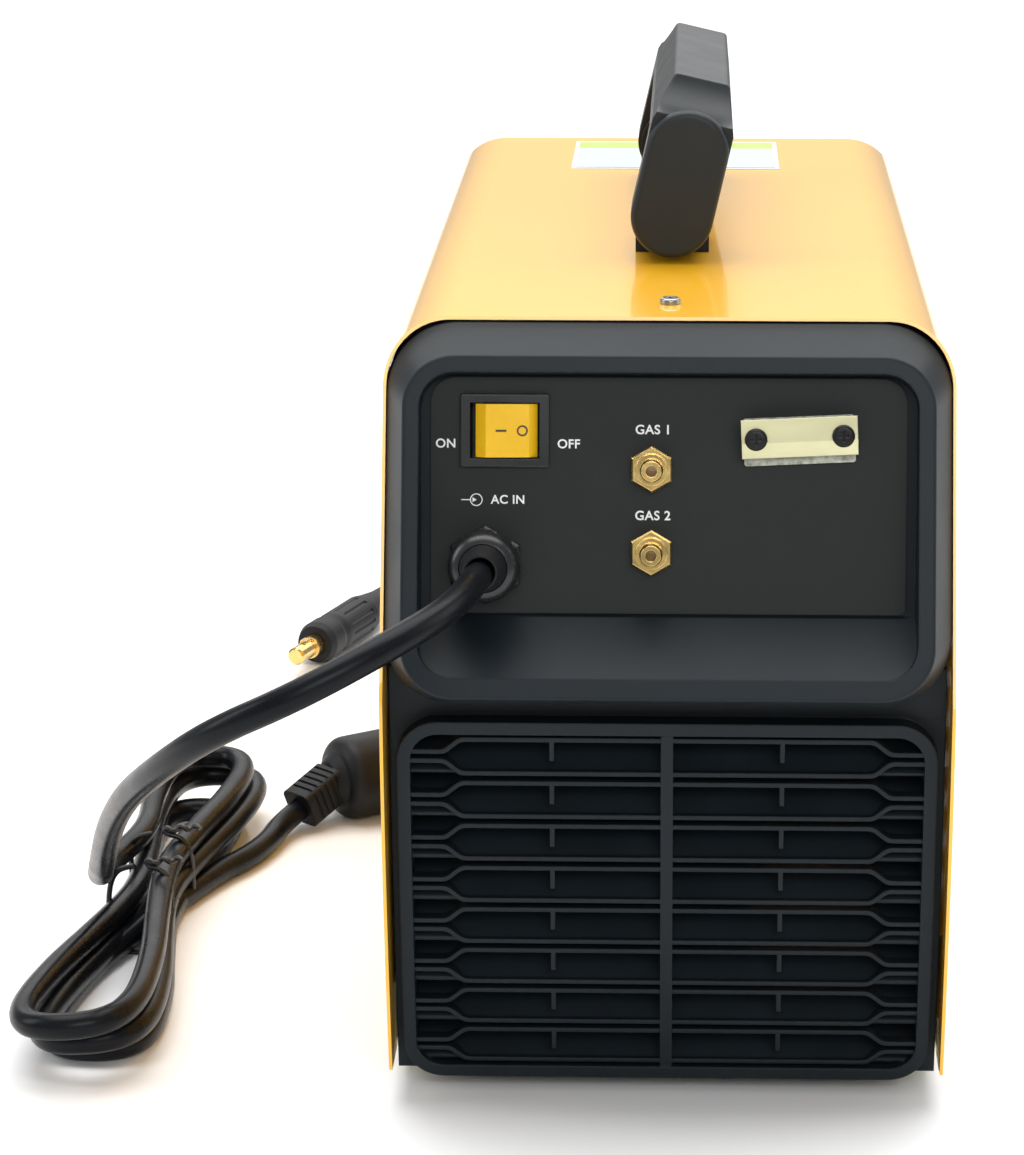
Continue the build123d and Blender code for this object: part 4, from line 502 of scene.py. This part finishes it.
def hank_points():
    """Control points of the tied turns: far lobe, waist, near lobe, waist, from the top down."""
    points = []
    for turn, (far, near, far_half, near_half, far_shift, near_shift) in enumerate(TURNS):
        level = LOWEST + LAYER * (len(TURNS) - 1 - turn)
        after = LOWEST + LAYER * max(0, len(TURNS) - 2 - turn)
        if turn:
            points.append(hank_place(0, -WAIST, level))
        for reach, width in LOBE:
            points.append(hank_place(far * reach, far_shift * reach - far_half * width, level))
        for reach, width in reversed(LOBE):
            points.append(hank_place(far * reach, far_shift * reach + far_half * width, level))
        points.append(hank_place(0, WAIST, level))
        for reach, width in LOBE:
            points.append(hank_place(-near * reach, near_shift * reach + near_half * width, level))
        for step, (reach, width) in enumerate(reversed(LOBE)):
            fall = level + (after - level) * (step + 1) / (len(LOBE) + 1)
            points.append(hank_place(-near * reach, near_shift * reach - near_half * width, fall))
    return points


cord = tube("mains_cord_line", MAINS_ROUTE + hank_points() + TAIL_ROUTE, CORD, "cord_rubber")
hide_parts("mains_cord", "mains_cord_hank", "mains_cord_tail")
lead = tube("polarity_lead_line", LEAD_ROUTE, LEAD, "cord_rubber")
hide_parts("polarity_lead")


def line_length(piece):
    """Length of a curve's own centreline in metres."""
    bevel = piece.data.bevel_depth
    piece.data.bevel_depth = 0.0
    bpy.context.view_layer.update()
    shape = bpy.data.meshes.new_from_object(piece.evaluated_get(bpy.context.evaluated_depsgraph_get()))
    piece.data.bevel_depth = bevel
    corners = [vertex.co.copy() for vertex in shape.vertices]
    bpy.data.meshes.remove(shape)
    return sum((b - a).length for a, b in zip(corners, corners[1:]))


def tie(name, along, lean):
    """Twisted wire tie: a close ring round the hank's waist and its twisted end on top."""
    height = LOWEST + LAYER * (len(TURNS) - 1) + CORD / MM / 2
    half_width = WAIST + CORD / MM / 2 + TIE_WIRE
    half_height = height / 2 + TIE_WIRE / 2
    ring = []
    for step in range(19):
        turn = math.radians(95 + 350 * step / 18)
        aside = half_width * math.copysign(abs(math.cos(turn)) ** 0.6, math.cos(turn))
        level = half_height * math.copysign(abs(math.sin(turn)) ** 0.6, math.sin(turn))
        ring.append(hank_place(along + lean * level, aside, half_height + 0.4 + level))
    top = 2 * half_height + 0.9
    twist = []
    for step in range(10):
        turn = math.radians(100 * step)
        reach = TWIST_STEP * step
        level = top + 1.6 * math.sin(reach / 9) + TWIST_RADIUS * math.sin(turn) + 1.0
        twist.append((reach, TWIST_RADIUS * math.cos(turn), level))
    end = [hank_place(along + lean * half_height + y, x + 2.0, z) for x, y, z in twist]
    return wire(name, ring + end, TIE_WIRE * MM, "tie_wire_sleeve")


near_tie = tie("near_tie", -24.0, 0.25)
far_tie = tie("far_tie", 22.0, -0.2)
round(line_length(cord), 2)
round(line_length(lead), 2)


# ---------------------------------------------------------------- printing on the panels
lettering("print_on", "ON", on_panel(-1, -77.2, 23.2), 3.0)
lettering("print_off", "OFF", on_panel(-1, -34.6, 23.2), 3.0)
lettering("print_gas_1", "GAS 1", on_panel(-1, -5.4, 18.1), 3.1)
lettering("print_gas_2", "GAS 2", on_panel(-1, -5.4, 47.9), 3.1)
lettering("print_ac", "AC IN", on_panel(-1, -55.6, 42.6), 2.9)
arrow_head = [(-1.3, 0.85), (0.1, 0.0), (-1.3, -0.85)]
inlet_sign = [circle(2.2), circle(1.85), bar(-5.2, -2.2, -0.17, 0.17), arrow_head]
flat_shape("print_inlet_sign", inlet_sign, on_panel(-1, -66.6, 42.6))
rocker_axle = on_panel(-1, SWITCH_X, SWITCH_V, ROCKER_PIVOT)
rocker_top = rocker_axle @ Matrix.Rotation(ROCKER_TILT, 4, "Y")
flat_shape("rocker_mark_on", [bar(-1.85, 1.85, -0.35, 0.35)],
           rocker_top @ Matrix.Translation((-2.2 * MM, 0, ROCKER_TOP)), "dark_print", "power_rocker")
flat_shape("rocker_mark_off", [circle(1.9), circle(1.35)],
           rocker_top @ Matrix.Translation((5.2 * MM, 0, ROCKER_TOP)), "dark_print", "power_rocker")


# ---------------------------------------------------------------- printing on the front
def middle_across(name):
    """Place of a CAD node across the front panel, in millimetres."""
    low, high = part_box(name)
    return -(low[0] + high[0]) / 2 / MM


def dial_marks(inner, outer, half_width, count=11, sweep=270):
    """Radial marks of a knob's scale, from lower left over the top to lower right."""
    marks = []
    for step in range(count):
        turn = math.radians(90 + sweep / 2 - sweep * step / (count - 1))
        along = (math.cos(turn), math.sin(turn))
        side = (-half_width * along[1], half_width * along[0])
        mark = []
        for reach, way in ((inner, 1), (outer, 1), (outer, -1), (inner, -1)):
            mark.append((reach * along[0] + way * side[0], reach * along[1] + way * side[1]))
        marks.append(mark)
    return marks


def on_plate(x, z):
    """Place on the connection plate, seen from the front; x is the frame's own, in millimetres."""
    turn = Matrix(((-1, 0, 0), (0, 0, 1), (0, 1, 0))).to_4x4()
    return Matrix.Translation((x * MM, PLATE_FACE, z * MM)) @ turn


for knob, words in (("current_knob", "CURRENT"), ("wire_speed_knob", "SPEED")):
    across = middle_across(knob)
    flat_shape(knob + "_scale", dial_marks(16.0, 18.4, 0.22), on_panel(1, across, KNOB_V))
    lettering(knob + "_word", words, on_panel(1, across, KNOB_V + 21.5), 2.6)
    lettering(knob + "_low", "1", on_panel(1, across - 15.4, KNOB_V + 15.8), 2.2)
    lettering(knob + "_high", "10", on_panel(1, across + 15.8, KNOB_V + 15.8), 2.2)
for button, words in (("mode_button", "MODE"), ("gas_test_button", "TEST")):
    lettering(button + "_word", words, on_panel(1, middle_across(button), BUTTON_V + 8.2), 2.2)
display_face = on_panel(1, 0, DISPLAY_V, 1.22)
lettering("display_digits", "188.8", display_face, 9.0, "unlit_digits")
for name, sign, x in (("print_left_socket", "+", 48.0), ("print_right_socket", "-", -8.0)):
    lettering(name, sign, on_plate(x, 63.5), 4.4)


# ---------------------------------------------------------------- studio
FLOOR_REACH = 6.0


def make_camera():
    """Rear three-quarter view from above, long lens."""
    lens = bpy.data.cameras.new("camera")
    lens.sensor_width = 36.0
    lens.lens = 113.8
    lens.shift_x = -0.079
    lens.clip_end = 20.0
    eye = bpy.data.objects.new("camera", lens)
    eye.location = (0.008, -1.453, 0.541)
    eye.rotation_euler = (math.radians(90 - 15.69), 0.0, math.radians(1.43))
    bpy.context.scene.collection.objects.link(eye)
    bpy.context.scene.camera = eye


def softbox(name, place, aim, width, height, power, color=(1.0, 1.0, 1.0)):
    lamp = bpy.data.lights.new(name, "AREA")
    lamp.shape = "RECTANGLE"
    lamp.size = width
    lamp.size_y = height
    lamp.energy = power
    lamp.color = color
    holder = bpy.data.objects.new(name, lamp)
    holder.location = place
    holder.rotation_euler = (Vector(aim) - Vector(place)).to_track_quat("-Z", "Y").to_euler()
    bpy.context.scene.collection.objects.link(holder)


def make_studio():
    sky = bpy.data.worlds.new("studio")
    sky.use_nodes = True
    sky.node_tree.nodes["Background"].inputs["Color"].default_value = (1.0, 1.0, 1.0, 1.0)
    sky.node_tree.nodes["Background"].inputs["Strength"].default_value = 0.42
    bpy.context.scene.world = sky
    middle = (0.0, 0.0, 0.15)
    softbox("top_light", (0.0, 0.3, 2.2), middle, 2.6, 1.8, 66)
    softbox("far_light", (0.0, 3.2, 1.8), (0.0, 2.2, 0.0), 5.0, 2.0, 60)
    softbox("left_light", (-2.0, -0.2, 1.1), middle, 0.7, 1.2, 12)
    softbox("right_light", (2.0, 0.3, 1.0), middle, 1.0, 1.4, 9)
    softbox("rear_light", (0.4, -2.6, 1.5), middle, 1.8, 0.9, 26)
    ground = bpy.data.meshes.new("floor")
    corners = [(x * FLOOR_REACH, y * FLOOR_REACH, 0) for x, y in ((-1, -1), (1, -1), (1, 1), (-1, 1))]
    ground.from_pydata(corners, [], [(0, 1, 2, 3)])
    floor = bpy.data.objects.new("floor", ground)
    bpy.context.scene.collection.objects.link(floor)
    paper = bpy.data.materials.new("pale_floor")
    paper.use_nodes = True
    paper.node_tree.nodes["Principled BSDF"].inputs["Base Color"].default_value = (0.93, 0.93, 0.93, 1.0)
    paper.node_tree.nodes["Principled BSDF"].inputs["Roughness"].default_value = 0.9
    ground.materials.append(paper)
    bpy.context.scene.view_settings.view_transform = "Standard"


make_camera()
make_studio()

bpy.context.view_layer.update()
